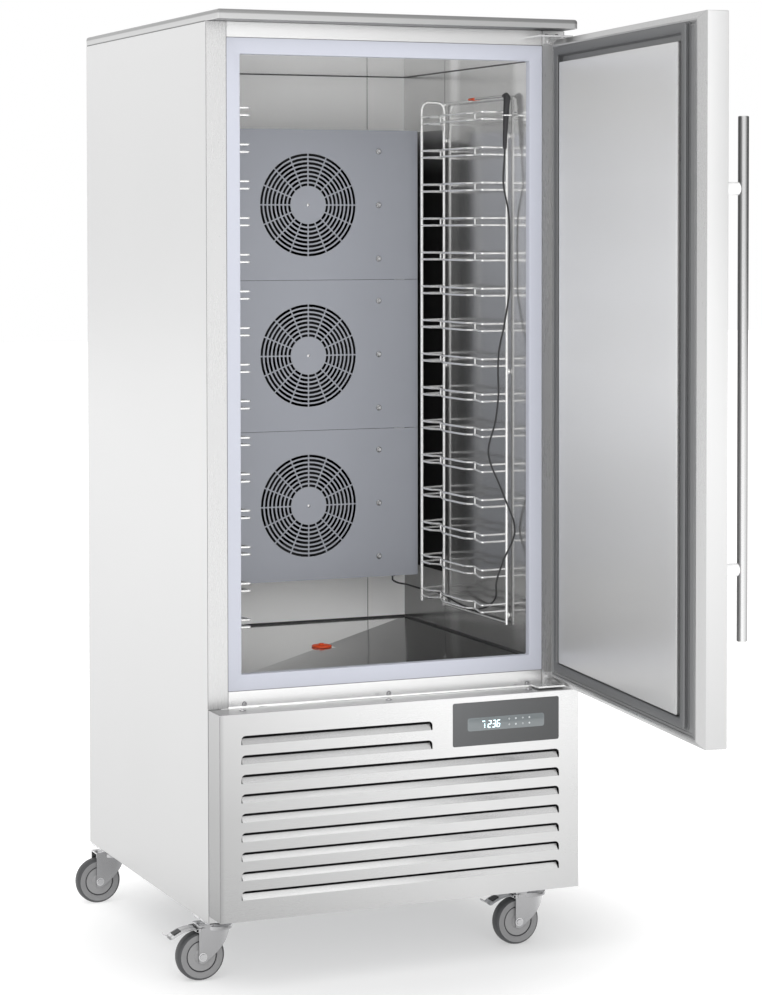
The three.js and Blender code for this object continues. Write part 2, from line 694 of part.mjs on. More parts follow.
function evaporatorFrame() {
  const front = COVER_BACK + CLEARANCE;
  const back = COIL_FRONT - CLEARANCE;
  const height = [COVERS_BOTTOM + 12, FAN_COVER_TOP - 12];
  const rails = [-1, 1].map((side) => {
    const x = MIDDLE + side * COVER_SCREW_HALF;
    const web = box(x - 1, x + 1, front, back, ...height);
    const flange = box(x - (side > 0 ? 1 : 14), x + (side > 0 ? 14 : 1), front, front + 2, ...height);
    return join(web, flange);
  });
  const straps = [COIL_BOTTOM + 20, COIL_TOP - 50].map((z) => {
    return box(MIDDLE - COVER_SCREW_HALF, MIDDLE + COVER_SCREW_HALF, back - 2.2, back, z, z + 30);
  });
  return join(...rails, ...straps);
}

function evaporatorCoil() {
  const left = MIDDLE - COIL_HALF_WIDTH;
  const right = MIDDLE + COIL_HALF_WIDTH;
  const back = CHAMBER_BACK - CLEARANCE;
  const block = box(left, right, COIL_FRONT, back - 22, COIL_BOTTOM, COIL_TOP);
  const finCount = 8;
  const grooves = Array.from({ length: finCount }, (_, i) => {
    const x = left + ((i + 0.5) * (right - left)) / finCount;
    return box(x - 3, x + 3, COIL_FRONT - 1, COIL_FRONT + 12, COIL_BOTTOM + 10, COIL_TOP - 10);
  });
  const sheets = [left - 3, right].map((x) => box(x, x + 3, COIL_FRONT, back, COIL_BOTTOM - 6, COIL_TOP + 6));
  const bends = [0, 1, 2, 3].map((i) => {
    const z = COIL_BOTTOM + 120 + i * 230;
    return cylinder("x", 8, [0, COIL_FRONT + 50, z], right, right + 16, 10);
  });
  return join(cut(block, ...grooves), ...sheets, ...bends);
}

// ---------- racks ----------

// A wire rack seen from above: each level is two wires that run from the front wall post to the rail,
// along it with two notches, and back to the rear wall post.
function rack(side) {
  const wallX = side > 0 ? CHAMBER_RIGHT : CHAMBER_LEFT;
  const postX = wallX - side * POST_WALL_GAP;
  const railX = MIDDLE + side * RACK_HALF;
  const notchX = railX + side * NOTCH;
  const frontNotch = RACK_FRONT + NOTCH_FROM_END;
  const rearNotch = RACK_REAR - NOTCH_FROM_END;
  const plan = [
    [postX, POST_FRONT],
    [railX, RACK_FRONT],
    [notchX, frontNotch],
    [railX, frontNotch + NOTCH],
    [railX, rearNotch - NOTCH_LEAD],
    [notchX, rearNotch],
    [railX, rearNotch + NOTCH],
    [railX, RACK_REAR],
    [postX, POST_REAR],
  ];
  const wires = [];
  for (let level = 0; level < LEVELS; level++) {
    const upper = TOP_LEVEL - level * LEVEL_PITCH;
    const lower = upper - SLOT;
    [upper, lower].forEach((z) => wires.push(wire(plan.map(([x, y]) => [x, y, z]), [0, 0, 1])));
    [frontNotch, rearNotch].forEach((y) => {
      wires.push(wire([[notchX, y, lower], [notchX, y, upper]], [1, 0, 0], LINK_RADIUS));
    });
  }
  const wallFrame = wire(
    [
      [postX, POST_FRONT, RACK_BOTTOM],
      [postX, POST_FRONT, RACK_TOP],
      [postX, POST_REAR, RACK_TOP],
      [postX, POST_REAR, RACK_BOTTOM],
    ],
    [1, 0, 0],
    POST_RADIUS,
  );
  const foot = wire([[postX, POST_FRONT, RACK_FOOT], [postX, POST_REAR, RACK_FOOT]], [1, 0, 0]);
  // The inner upright stands in the corner of every wire and is bent over to the wall post at both ends.
  const across = new THREE.Vector3(postX - railX, POST_REAR - RACK_REAR, 0).normalize();
  const lastWire = TOP_LEVEL - (LEVELS - 1) * LEVEL_PITCH - SLOT;
  const upright = wire([[railX, RACK_REAR, lastWire - 14], [railX, RACK_REAR, RACK_TOP]], [1, 0, 0], POST_RADIUS);
  const ties = [lastWire - 10, RACK_TOP - 4].map((z) => {
    return wire([[railX, RACK_REAR, z], [postX, POST_REAR, z]], [-across.y, across.x, 0]);
  });
  const studs = [RACK_TOP - 80, (RACK_TOP + RACK_BOTTOM) / 2 - 20, RACK_BOTTOM + 20].flatMap((z) =>
    [POST_FRONT, POST_REAR].map((y) => {
      const ends = [postX, wallX - side * CLEARANCE].sort((a, b) => a - b);
      return cylinder("x", STUD_RADIUS, [0, y, z], ...ends, 6);
    }),
  );
  const parts = [wallFrame, foot, upright, ...ties, ...studs, ...wires];
  if (side > 0) parts.push(probeHook(postX));
  return join(...parts);
}

// ---------- core probe and its lead ----------

const PROBE = { x: 709, y: 104, elbow: 1790, end: 1676 };
const LEAN = 5; // the handle leans towards the chamber by this

const GRIP_TOP = PROBE.elbow - 16;

// Middle and half width of the tapered handle at a height.
function handleAt(z) {
  const share = (z - PROBE.end) / (GRIP_TOP - PROBE.end);
  return { x: PROBE.x - LEAN * (1 - share), half: HANDLE_END + (HANDLE_RADIUS - HANDLE_END) * share };
}

function probeHook(postX) {
  const z = TOP_LEVEL - SLOT / 2;
  const { x, half } = handleAt(z);
  const reach = half + CLEARANCE + HOOK_RADIUS * Math.SQRT1_2;
  return wire(
    [
      [postX, POST_FRONT, z],
      [postX, PROBE.y - reach, z],
      [x - reach, PROBE.y - reach, z],
      [x - reach, PROBE.y + 3, z],
    ],
    [0, 0, 1],
    HOOK_RADIUS,
  );
}

function probeHandle() {
  const { x, y, elbow, end } = PROBE;
  const around = (z) => {
    const { x: middle, half } = handleAt(z);
    return rectangle([middle - half, middle + half, y - half, y + half], z);
  };
  const grip = loft(around(end), around(GRIP_TOP));
  const knee = cylinder("z", HANDLE_RADIUS + 1.6, [x, y, 0], GRIP_TOP - 4, elbow, 12);
  const nose = cylinder("y", 5, [x, 0, elbow - 2], y, y + 18, 12, 3.2);
  const bore = cylinder("y", NEEDLE_RADIUS + CLEARANCE, [x, 0, elbow - 2], y + 8, y + 19, 10);
  return cut(join(grip, knee, nose), bore);
}

function probeNeedle() {
  const { x, y, elbow } = PROBE;
  const from = y + 8 + CLEARANCE;
  const shaft = cylinder("y", NEEDLE_RADIUS, [x, 0, elbow - 2], from, from + NEEDLE_LENGTH - 26, 10);
  const sleeve = cylinder("y", 3.2, [x, 0, elbow - 2], from + NEEDLE_LENGTH - 27, from + NEEDLE_LENGTH, 10, 2.6);
  return join(shaft, sleeve);
}

// From the handle down in front of the right rack, over its lowest level, back along it and up to the gland.
const CABLE_ROUTE = [
  [704, 104, 1675.6],
  [703.2, 104, 1655],
  [701, 104, 1602],
  [712, 103, 1544],
  [715, 103, 1484],
  [714, 103, 1419],
  [714, 103, 1376],
  [702, 103, 1304],
  [690, 103, 1249],
  [688, 103, 1210],
  [689, 103, 1160],
  [682, 103, 1103],
  [665, 102, 1036],
  [694, 94, 953],
  [718, 84, 872],
  [694, 92, 806],
  [683, 100, 763],
  [685, 106, 733],
  [685, 118, 720],
  [686, 133, 713],
  [688, 160, 702],
  [691, 205, 692],
  [693, 255, 688],
  [694, 310, 690],
  [694, 360, 695],
  [691, 398, 701],
  [684, 424, 704.6],
  [669, 436, 707],
  [648, 437.5, 713],
  [626, 440, 720],
  [608, 447, 724],
  [600, 456.4, 730],
  [600, 457, 734],
  [600, 457, 737.7],
];

// ---------- drain ----------

function drainPlug() {
  const profile = [
    [0, -12],
    [DRAIN_RADIUS - 2, -12],
    [DRAIN_RADIUS - 1.6, 0.3],
    [DRAIN_RADIUS + 5, 0.8],
    [DRAIN_RADIUS + 4, 3.6],
    [5, 4],
    [4, 7.5],
    [0, 7.5],
  ];
  return turned("z", profile, [MIDDLE, DRAIN_Y, DRAIN_TOP], 16);
}

function drainPipe() {
  const inside = PIPE_RADIUS - DRAIN_PIPE_WALL;
  const top = DRAIN_TOP - SHEET - CLEARANCE;
  const low = FOAM_BOTTOM - 24;
  const back = DEPTH - 60;
  const fall = 18;
  const drop = cylinder("z", PIPE_RADIUS, [MIDDLE, DRAIN_Y, 0], low - 10, top, 16);
  const section = (y, z) => corners([MIDDLE - 10, MIDDLE + 10, z, z + 20], y);
  const run = loft(section(DRAIN_Y, low - 8), section(back, low - 8 - fall));
  const tail = cylinder("z", 10, [MIDDLE, back, 0], CASING_BOTTOM + 42, low + 4 - fall, 12);
  const shaft = cylinder("z", inside, [MIDDLE, DRAIN_Y, 0], low - 4, top + 1, 16);
  return cut(join(drop, run, tail), shaft);
}

// ---------- cooling unit ----------

const PAN_TOP = CASING_BOTTOM + 2 + CLEARANCE;
const COMPRESSOR = { x: 560, y: 560 };
const CONDENSER = { x0: 70, x1: 470, y0: 36, y1: 92, z0: PAN_TOP, z1: PAN_TOP + 330 };
const CONDENSER_FAN = { x: 270, z: PAN_TOP + 165, y: 128, radius: 142 };

function compressor() {
  const { x, y } = COMPRESSOR;
  const r = COMPRESSOR_RADIUS;
  const h = COMPRESSOR_HEIGHT;
  const bowl = [[0, 26], [r * 0.7, 28], [r, 60], [r, h * 0.55]];
  const weld = [[r + 4, h * 0.55], [r + 4, h * 0.6]];
  const dome = [[r, h * 0.6], [r * 0.8, h * 0.92], [0, h + 2]];
  const shell = turned("z", [...bowl, ...weld, ...dome], [x, y, PAN_TOP], 14);
  const foot = box(x - r - 22, x + r + 22, y - 60, y + 60, PAN_TOP + 22, PAN_TOP + 32);
  const grommets = [-1, 1].flatMap((a) => [-1, 1].map((b) => {
    return cylinder("z", 11, [x + a * (r + 8), y + b * 45, 0], PAN_TOP, PAN_TOP + 24, 8);
  }));
  const terminal = box(x - 34, x + 34, y - r - 28, y - r + 20, PAN_TOP + 60, PAN_TOP + 130);
  return join(shell, foot, terminal, ...grommets);
}

function condenserCoil() {
  const { x0, x1, y0, y1, z0, z1 } = CONDENSER;
  const block = box(x0 + 3, x1 - 3, y0 + 4, y1, z0 + 6, z1 - 6);
  const finCount = 9;
  const grooves = Array.from({ length: finCount }, (_, i) => {
    const x = x0 + ((i + 0.5) * (x1 - x0)) / finCount;
    return box(x - 3, x + 3, y0, y0 + 14, z0 + 16, z1 - 16);
  });
  const ends = [x0, x1 - 3].map((x) => box(x, x + 3, y0, y1, z0, z1));
  return join(cut(block, ...grooves), ...ends);
}

function condenserFanMotor() {
  const { x, y, z, radius } = CONDENSER_FAN;
  const shroudFront = CONDENSER.y1 + CLEARANCE;
  const plate = ring(
    [CONDENSER.x0, CONDENSER.x1, CONDENSER.z0, CONDENSER.z1],
    [x - radius - 4, x + radius + 4, z - radius - 4, z + radius + 4],
    shroudFront,
    shroudFront + 2,
  );
  const bars = [z - 60, z + 52].map((h) => box(CONDENSER.x0, CONDENSER.x1, y + 34, y + 37, h, h + 8));
  const legs = [CONDENSER.x0, CONDENSER.x1 - 3].map((lx) => box(lx, lx + 3, shroudFront, y + 37, z - 60, z + 60));
  const body = cylinder("y", 42, [x, 0, z], y + 32, y + 78, 20);
  const strap = box(x - 20, x + 20, y + 34, y + 37, z - 60, z + 60);
  const shaft = cylinder("y", SHAFT_RADIUS, [x, 0, z], y + 1.5, y + 33, 10);
  return join(plate, ...bars, ...legs, body, strap, shaft);
}

function liquidReceiver() {
  const x = 690;
  const y = 330;
  const tank = turned("z", [[0, 0], [30, 0], [38, 14], [38, 190], [26, 210], [0, 214]], [x, y, PAN_TOP + 6], 18);
  const foot = box(x - 46, x + 46, y - 30, y + 30, PAN_TOP, PAN_TOP + 10);
  return join(tank, foot);
}

const pipeTop = PAN_TOP + COMPRESSOR_HEIGHT + 60;

function refrigerantPipe() {
  const { x, y } = COMPRESSOR;
  const r = COMPRESSOR_RADIUS;
  return tube(
    [
      [x - r - 6, y + 20, PAN_TOP + 120],
      [x - r - 40, y + 20, PAN_TOP + 124],
      [x - r - 60, y + 10, PAN_TOP + 170],
      [x - r - 60, y - 20, pipeTop],
      [x - r - 60, y - 220, pipeTop],
      [x - r - 50, y - 330, pipeTop - 10],
      [CONDENSER.x1 + 40, CONDENSER.y1 + 30, pipeTop - 30],
      [CONDENSER.x1 + 40, CONDENSER.y1 - 10, pipeTop - 60],
      [CONDENSER.x1 + 26, CONDENSER.y1 - 26, pipeTop - 70],
      [CONDENSER.x1 + CLEARANCE, CONDENSER.y1 - 26, pipeTop - 70],
    ],
    5,
    6,
    20,
  );
}

function electricalBox() {
  const box0 = [SKIN + 30, SKIN + 190, 330, 620, PAN_TOP, PAN_TOP + 240];
  const [x0, x1, y0, y1, z0, z1] = box0;
  const body = box(...box0);
  const lid = box(x1, x1 + 3, y0 - 4, y1 + 4, z0 + 6, z1 + 4);
  const hollow = box(x0 + 2, x1 - 2, y0 + 2, y1 - 2, z0 + 2, z1 - 2);
  const glandHole = cylinder("z", 10, [x0 + 80, y0 + 60, 0], z1 - 3, z1 + 3, 12);
  return cut(join(body, lid), hollow, glandHole);
}

// ---------- casters ----------

const SWIVEL_RADIUS = 6;
const RACE_HEIGHT = 9;
const PLATE_BOTTOM = CASING_BOTTOM - CLEARANCE - CASTER_PLATE_THICKNESS;
const CROWN_TOP = PLATE_BOTTOM - RACE_HEIGHT - CLEARANCE;
const CROWN_BOTTOM = CROWN_TOP - FORK_SHEET;
const FORK_HALF = WHEEL_WIDTH / 2 + 2.5;

function casterPlate(x, y) {
  const halfX = CASTER_PLATE / 2 - 1;
  const halfY = CASTER_PLATE_LENGTH / 2;
  const plate = box(x - halfX, x + halfX, y - halfY, y + halfY, PLATE_BOTTOM, PLATE_BOTTOM + CASTER_PLATE_THICKNESS);
  const race = turned(
    "z",
    [
      [0, CROWN_BOTTOM - 4],
      [10, CROWN_BOTTOM - 4],
      [10, CROWN_BOTTOM - CLEARANCE],
      [SWIVEL_RADIUS, CROWN_BOTTOM - CLEARANCE],
      [SWIVEL_RADIUS, PLATE_BOTTOM - RACE_HEIGHT],
      [23, PLATE_BOTTOM - RACE_HEIGHT],
      [27, PLATE_BOTTOM + 1],
      [0, PLATE_BOTTOM + 1],
    ],
    [x, y, 0],
    12,
  );
  return join(plate, race);
}

// The fork is one sheet bent round the swivel and cut, seen from the side, to a leg that narrows from the
// crown to a round end at the axle.
function casterFork(x, y, braked) {
  const wheelX = x - CASTER_TRAIL;
  const outer = FORK_HALF + FORK_SHEET;
  const rear = wheelX - CROWN_REACH;
  const arc = (degrees, radiusX, radiusY) => {
    return degrees.map((d) => [
      radiusX * Math.cos(THREE.MathUtils.degToRad(d)),
      radiusY * Math.sin(THREE.MathUtils.degToRad(d)),
    ]);
  };
  const plan = (half, open) => {
    const bend = arc([-90, -60, -30, 0, 30, 60, 90], half + 6, half).map(([a, b]) => [x + a, y + b]);
    return [[open, y - half], ...bend, [open, y + half]];
  };
  const bent = cut(
    prism("z", plan(outer, rear), WHEEL_RADIUS - 14, CROWN_TOP),
    prism("z", plan(FORK_HALF, rear - 1), WHEEL_RADIUS - 15, CROWN_BOTTOM),
  );
  const end = arc([-150, -90, -30], 13, 13).map(([a, b]) => [wheelX + a, WHEEL_RADIUS + b]);
  const neck = [
    [wheelX + 16, WHEEL_RADIUS + 4],
    [wheelX + 30, WHEEL_RADIUS + 14],
    [x + 10, WHEEL_RADIUS + 32],
    [x + 20, WHEEL_RADIUS + 48],
    [x + 27, CROWN_TOP + 1],
  ];
  const side = [[rear, CROWN_TOP + 1], ...end, ...neck];
  const legs = bent.intersect(prism("y", side, y - outer - 1, y + outer + 1));
  const crown = cylinder("z", 27, [x, y, 0], CROWN_BOTTOM, CROWN_TOP, 16);
  const axle = cylinder("y", AXLE_RADIUS, [wheelX, 0, WHEEL_RADIUS], y - outer - 4, y + outer + 4, 8);
  const bore = cylinder("z", SWIVEL_RADIUS + CLEARANCE, [x, y, 0], CROWN_BOTTOM - 1, CROWN_TOP + 1, 12);
  const fork = cut(join(crown, legs, axle), bore);
  if (!braked) return fork;
  const pivot = cylinder("y", PIVOT_RADIUS + CLEARANCE, [wheelX, 0, PIVOT_Z], y - outer - 1, y + outer + 1, 10);
  return cut(fork, pivot);
}

function casterWheel(x, y) {
  const w = WHEEL_WIDTH / 2;
  const r = WHEEL_RADIUS;
  const bore = AXLE_RADIUS + 0.4;
  const half = [[bore, w + 1], [14, w + 1], [16, w - 4], [34, w - 4], [r - 5, w], [r, w - 6]];
  const mirrored = half.map(([radius, h]) => [radius, -h]);
  return turned("y", [...mirrored, ...half.reverse(), mirrored[0]], [x - CASTER_TRAIL, y, r], 16);
}

// The pedal swings on its own pin through the fork, just above the wheel.
function brakePedal(x, y) {
  const px = x - CASTER_TRAIL;
  const inside = FORK_HALF + FORK_SHEET + CLEARANCE;
  const outside = inside + 2;
  const at = (points) => points.map(([dx, dz]) => [px + dx, PIVOT_Z + dz]);
  const reach = PEDAL_LENGTH;
  const under = [[-9, -3], [-22, 1], [-42, -1], [14 - reach, -8], [-reach, -2]];
  const over = [[-reach, 2], [14 - reach, -4], [-42, 3], [-22, 5], [-9, 2]];
  const tread = prism("y", at([...under, ...over]), y - PEDAL_WIDTH / 2, y + PEDAL_WIDTH / 2);
  const cheek = at([[-14, -3.5], [5, -3.5], [7, 4], [-14, 4]]);
  const cheeks = [-outside, inside].map((side) => prism("y", cheek, y + side, y + side + 2));
  const bridge = box(px - 14, px - 9, y - outside, y + outside, PIVOT_Z - 3, PIVOT_Z + 2);
  const pin = cylinder("y", PIVOT_RADIUS, [px, 0, PIVOT_Z], y - outside - 1, y + outside + 1, 8);
  return join(bridge, tread, pin, ...cheeks);
}

// ---------- door, drawn closed and then turned about its hinge ----------

const DOOR = [DOOR_LEFT, DOOR_RIGHT, DOOR_BOTTOM, DOOR_TOP];
const DOOR_INNER_Y = -DOOR_BACK_GAP;
const PANEL_EDGE = inset(DOOR, PANEL_MARGIN_X, PANEL_MARGIN_Z);
const GASKET_LINE = inset(FRAME_OUTER, FRAME_FACE / 2, FRAME_FACE_Z / 2);

function doorOuterPanel() {
  const bevelled = (grow, backY) => join(
    box(DOOR_LEFT + grow, DOOR_RIGHT - grow, FACE + grow, backY - DOOR_BEVEL, DOOR_BOTTOM + grow, DOOR_TOP - grow),
    loft(
      corners(inset(DOOR, grow), backY - DOOR_BEVEL),
      corners(inset(DOOR, grow + DOOR_BEVEL - 1), backY),
    ),
  );
  const shell = cut(bevelled(0, DOOR_INNER_Y), bevelled(SHEET, DOOR_INNER_Y - SHEET));
  const opening = box(
    DOOR_LEFT + PROFILE_MARGIN - CLEARANCE,
    DOOR_RIGHT - PROFILE_MARGIN + CLEARANCE,
    DOOR_INNER_Y - 3,
    DOOR_INNER_Y + 1,
    DOOR_BOTTOM + PROFILE_MARGIN - CLEARANCE,
    DOOR_TOP - PROFILE_MARGIN + CLEARANCE,
  );
  const pinHoles = [DOOR_BOTTOM, DOOR_TOP].map((z) => {
    return cylinder("z", HINGE_PIN_RADIUS + 1, [HINGE_X, HINGE_Y, 0], z - 4, z + 4, 16);
  });
  return cut(shell, opening, ...pinHoles);
}

function doorFoam() {
  const gap = SHEET + CLEARANCE;
  const deep = DOOR_INNER_Y - DOOR_BEVEL - gap;
  const block = join(
    box(DOOR_LEFT + gap, DOOR_RIGHT - gap, FACE + gap, deep, DOOR_BOTTOM + gap, DOOR_TOP - gap),
    box(
      DOOR_LEFT + PROFILE_MARGIN + 2,
      DOOR_RIGHT - PROFILE_MARGIN - 2,
      FACE + gap,
      DOOR_INNER_Y - PROFILE_HEIGHT - CLEARANCE,
      DOOR_BOTTOM + PROFILE_MARGIN + 2,
      DOOR_TOP - PROFILE_MARGIN - 2,
    ),
  );
  const pockets = [
    [DOOR_BOTTOM, DOOR_BOTTOM + 20],
    [DOOR_TOP - 20, DOOR_TOP],
  ].map(([z0, z1]) => cylinder("z", HINGE_PIN_RADIUS + 1, [HINGE_X, HINGE_Y, 0], z0, z1, 16));
  return cut(block, ...pockets);
}

function doorEdgeProfile() {
  const outer = inset(DOOR, PROFILE_MARGIN);
  const plate = ring(outer, inset(PANEL_EDGE, -CLEARANCE), DOOR_INNER_Y - PROFILE_HEIGHT, DOOR_INNER_Y);
  const groove = ring(inset(GASKET_LINE, -3), inset(GASKET_LINE, 3), DOOR_INNER_Y - 1.5, DOOR_INNER_Y + 1);
  return cut(plate, groove);
}

function doorInnerPanel() {
  const front = DOOR_INNER_Y - PROFILE_HEIGHT;
  const proud = DOOR_INNER_Y + PANEL_PROUD;
  const outer = loft(corners(PANEL_EDGE, front), corners(inset(PANEL_EDGE, 6), proud));
  const hollow = loft(
    corners(inset(PANEL_EDGE, SHEET), front - 1),
    corners(inset(PANEL_EDGE, 6 + SHEET), proud - SHEET),
  );
  return cut(outer, hollow);
}

function doorGasket() {
  const base = DOOR_INNER_Y + CLEARANCE;
  const band = (half, from, to) => ring(inset(GASKET_LINE, -half), inset(GASKET_LINE, half), from, to);
  const foot = band(GASKET_WIDTH / 2, base, DOOR_INNER_Y + 4);
  const lip = band(GASKET_WIDTH / 2 - 4, DOOR_INNER_Y + 3, DOOR_INNER_Y + GASKET_HEIGHT);
  return join(foot, lip);
}

function doorHandle() {
  const x = DOOR_LEFT + GRIP_EDGE;
  const y = FACE - GRIP_STANDOFF;
  const bar = cylinder("z", GRIP_RADIUS, [x, y, 0], GRIP_BOTTOM, GRIP_BOTTOM + GRIP_LENGTH, 16);
  const standoffs = [GRIP_BOTTOM + STANDOFF_FROM_END, GRIP_BOTTOM + GRIP_LENGTH - STANDOFF_FROM_END].map((z) => {
    return cylinder("y", STANDOFF_RADIUS, [x, 0, z], y, FACE - CLEARANCE, 12);
  });
  return join(bar, ...standoffs);
}

// ---------- assembly ----------

add("side_panel_left", sidePanel(true), STEEL);
add("side_panel_right", sidePanel(false), STEEL);
add("rear_panel", rearPanel(), STEEL);
add("top_cover", topCover(), STEEL);
add("front_surround", frontSurround(), STEEL);
add("base_frame", baseFrame(), STEEL);
add("insulation_foam", insulationFoam(), FOAM);
add("inner_liner", innerLiner(), STEEL);
add("door_frame_trim", doorFrame(), FRAME_PLASTIC);
add("front_fascia", frontFascia(), STEEL);
add("control_panel", controlPanel(), DARK_PLASTIC);
add("display_window", displayWindow(), GLASS_DARK);
add("hinge_bracket_top", hingeBracket(true), STEEL);
add("hinge_bracket_bottom", hingeBracket(false), STEEL);
add("evaporator_frame", evaporatorFrame(), ALUMINIUM);
add("evaporator_coil", evaporatorCoil(), ALUMINIUM);
for (let i = 0; i < FAN_COUNT; i++) {
  add("fan_cover_" + (i + 1), fanCover(i), COVER_GREY);
  add("fan_motor_" + (i + 1), fanMotor(i), BLACK);
  add("fan_rotor_" + (i + 1), fanRotor([MIDDLE, fanCentre(i)], ROTOR_FRONT, FAN_RADIUS, FAN_BLADES), BLACK);
}
add("rack_left", rack(-1), BRIGHT_STEEL);
add("rack_right", rack(1), BRIGHT_STEEL);
add("probe_handle", probeHandle(), BLACK);
add("probe_needle", probeNeedle(), BRIGHT_STEEL);
add("probe_cable", tube(CABLE_ROUTE, CABLE_RADIUS, 8, 56), BLACK);
add("cable_gland", cableGland(), BLACK);
add("drain_plug", drainPlug(), RED);
add("drain_pipe", drainPipe(), GREY_PLASTIC);
add("compressor", compressor(), BLACK);
add("condenser_coil", condenserCoil(), ALUMINIUM);
add("condenser_fan_motor", condenserFanMotor(), STEEL);
const condenserFanAxis = [CONDENSER_FAN.x, CONDENSER_FAN.z];
const condenserRotor = fanRotor(condenserFanAxis, CONDENSER_FAN.y, CONDENSER_FAN.radius, FAN_BLADES);
add("condenser_fan_rotor", condenserRotor, ALUMINIUM);
add("liquid_receiver", liquidReceiver(), BLACK);
add("refrigerant_pipe", refrigerantPipe(), COPPER);
add("electrical_box", electricalBox(), STEEL);

const CASTERS = [
  ["front_left", CASTER_INSET, CASTER_FRONT_Y, true],
  ["front_right", WIDTH - CASTER_INSET, CASTER_FRONT_Y, true],
  ["rear_left", CASTER_INSET, CASTER_REAR_Y, false],
  ["rear_right", WIDTH - CASTER_INSET, CASTER_REAR_Y, false],
];
CASTERS.forEach(([place, x, y, braked]) => {
  add("caster_plate_" + place, casterPlate(x, y), STEEL);
  add("caster_fork_" + place, casterFork(x, y, braked), STEEL);
  add("caster_wheel_" + place, casterWheel(x, y), TYRE_GREY);
  if (braked) add("brake_pedal_" + place, brakePedal(x, y), STEEL);
});

const door = new THREE.Group();
door.position.set(HINGE_X, HINGE_Y, 0);
door.rotation.z = THREE.MathUtils.degToRad(DOOR_REST_ANGLE);
cabinet.add(door);
const hinge = [HINGE_X, HINGE_Y, 0];
add("door_outer_panel", doorOuterPanel(), STEEL, door, hinge);
add("door_foam", doorFoam(), FOAM, door, hinge);
add("door_edge_profile", doorEdgeProfile(), GREY_PLASTIC, door, hinge);
add("door_inner_panel", doorInnerPanel(), BRIGHT_STEEL, door, hinge);
add("door_gasket", doorGasket(), DARK_PLASTIC, door, hinge);
add("door_handle", doorHandle(), BRIGHT_STEEL, door, hinge);

// The origin is on the floor, under the middle of the whole object with its door open.
const part = new THREE.Group();
part.add(cabinet);
part.updateMatrixWorld(true);
const extent = new THREE.Box3().setFromObject(part, true);
const middle = extent.getCenter(new THREE.Vector3());
cabinet.position.set(-middle.x, -middle.y, -extent.min.z);
cabinet.updateMatrixWorld(true);

// Joint axes and a few reference places, before the shift to the origin.
part.userData = {
  shift: cabinet.position.toArray(),
  doorHinge: { at: [HINGE_X, HINGE_Y, DOOR_BOTTOM], closedBy: -DOOR_REST_ANGLE },
  fans: Array.from({ length: FAN_COUNT }, (_, i) => [MIDDLE, ROTOR_FRONT, fanCentre(i)]),
  condenserFan: [CONDENSER_FAN.x, CONDENSER_FAN.y, CONDENSER_FAN.z],
  drain: [MIDDLE, DRAIN_Y, DRAIN_TOP],
  casters: CASTERS.map(([place, x, y, braked]) => ({
    place,
    swivel: [x, y, CASING_BOTTOM],
    axle: [x - CASTER_TRAIL, y, WHEEL_RADIUS],
    pedal: braked ? [x - CASTER_TRAIL, y, PIVOT_Z] : null,
  })),
  chamber: [CHAMBER_LEFT, CHAMBER_RIGHT, LINER_FRONT, CHAMBER_BACK, FLOOR_EDGE, CEILING],
  levels: Array.from({ length: LEVELS }, (_, i) => TOP_LEVEL - i * LEVEL_PITCH),
};

export default part;
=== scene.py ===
# Blast chiller: the look of an open cabinet with its door at 83 degrees.
# Shapes are written in cabinet millimetres: X = 0 at the left side panel, Y = 0 at the front of the
# casing and Z = 0 on the floor. The door is written closed and turned about its hinge.
import json
import math

import bmesh
import bpy
import mathutils
from mathutils import Matrix, Vector

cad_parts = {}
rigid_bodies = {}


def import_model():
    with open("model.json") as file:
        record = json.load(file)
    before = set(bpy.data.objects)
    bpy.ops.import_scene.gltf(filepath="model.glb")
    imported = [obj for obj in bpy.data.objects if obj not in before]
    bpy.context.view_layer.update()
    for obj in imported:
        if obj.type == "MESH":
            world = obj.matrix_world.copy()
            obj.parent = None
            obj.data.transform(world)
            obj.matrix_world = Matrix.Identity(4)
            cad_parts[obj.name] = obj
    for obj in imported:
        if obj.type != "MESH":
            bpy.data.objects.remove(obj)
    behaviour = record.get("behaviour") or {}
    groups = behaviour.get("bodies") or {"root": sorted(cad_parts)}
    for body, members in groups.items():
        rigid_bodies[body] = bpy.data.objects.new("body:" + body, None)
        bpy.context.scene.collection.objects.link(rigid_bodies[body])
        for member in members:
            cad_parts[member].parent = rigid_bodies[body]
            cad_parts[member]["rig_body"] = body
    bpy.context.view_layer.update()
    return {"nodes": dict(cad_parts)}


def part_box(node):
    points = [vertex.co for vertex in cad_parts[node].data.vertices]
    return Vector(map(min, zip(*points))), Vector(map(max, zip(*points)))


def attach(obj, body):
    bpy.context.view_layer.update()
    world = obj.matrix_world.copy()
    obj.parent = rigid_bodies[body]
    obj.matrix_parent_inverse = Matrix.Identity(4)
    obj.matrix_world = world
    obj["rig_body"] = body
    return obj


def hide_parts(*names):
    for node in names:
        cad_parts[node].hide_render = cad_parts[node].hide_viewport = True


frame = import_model()

# ---------- places ----------

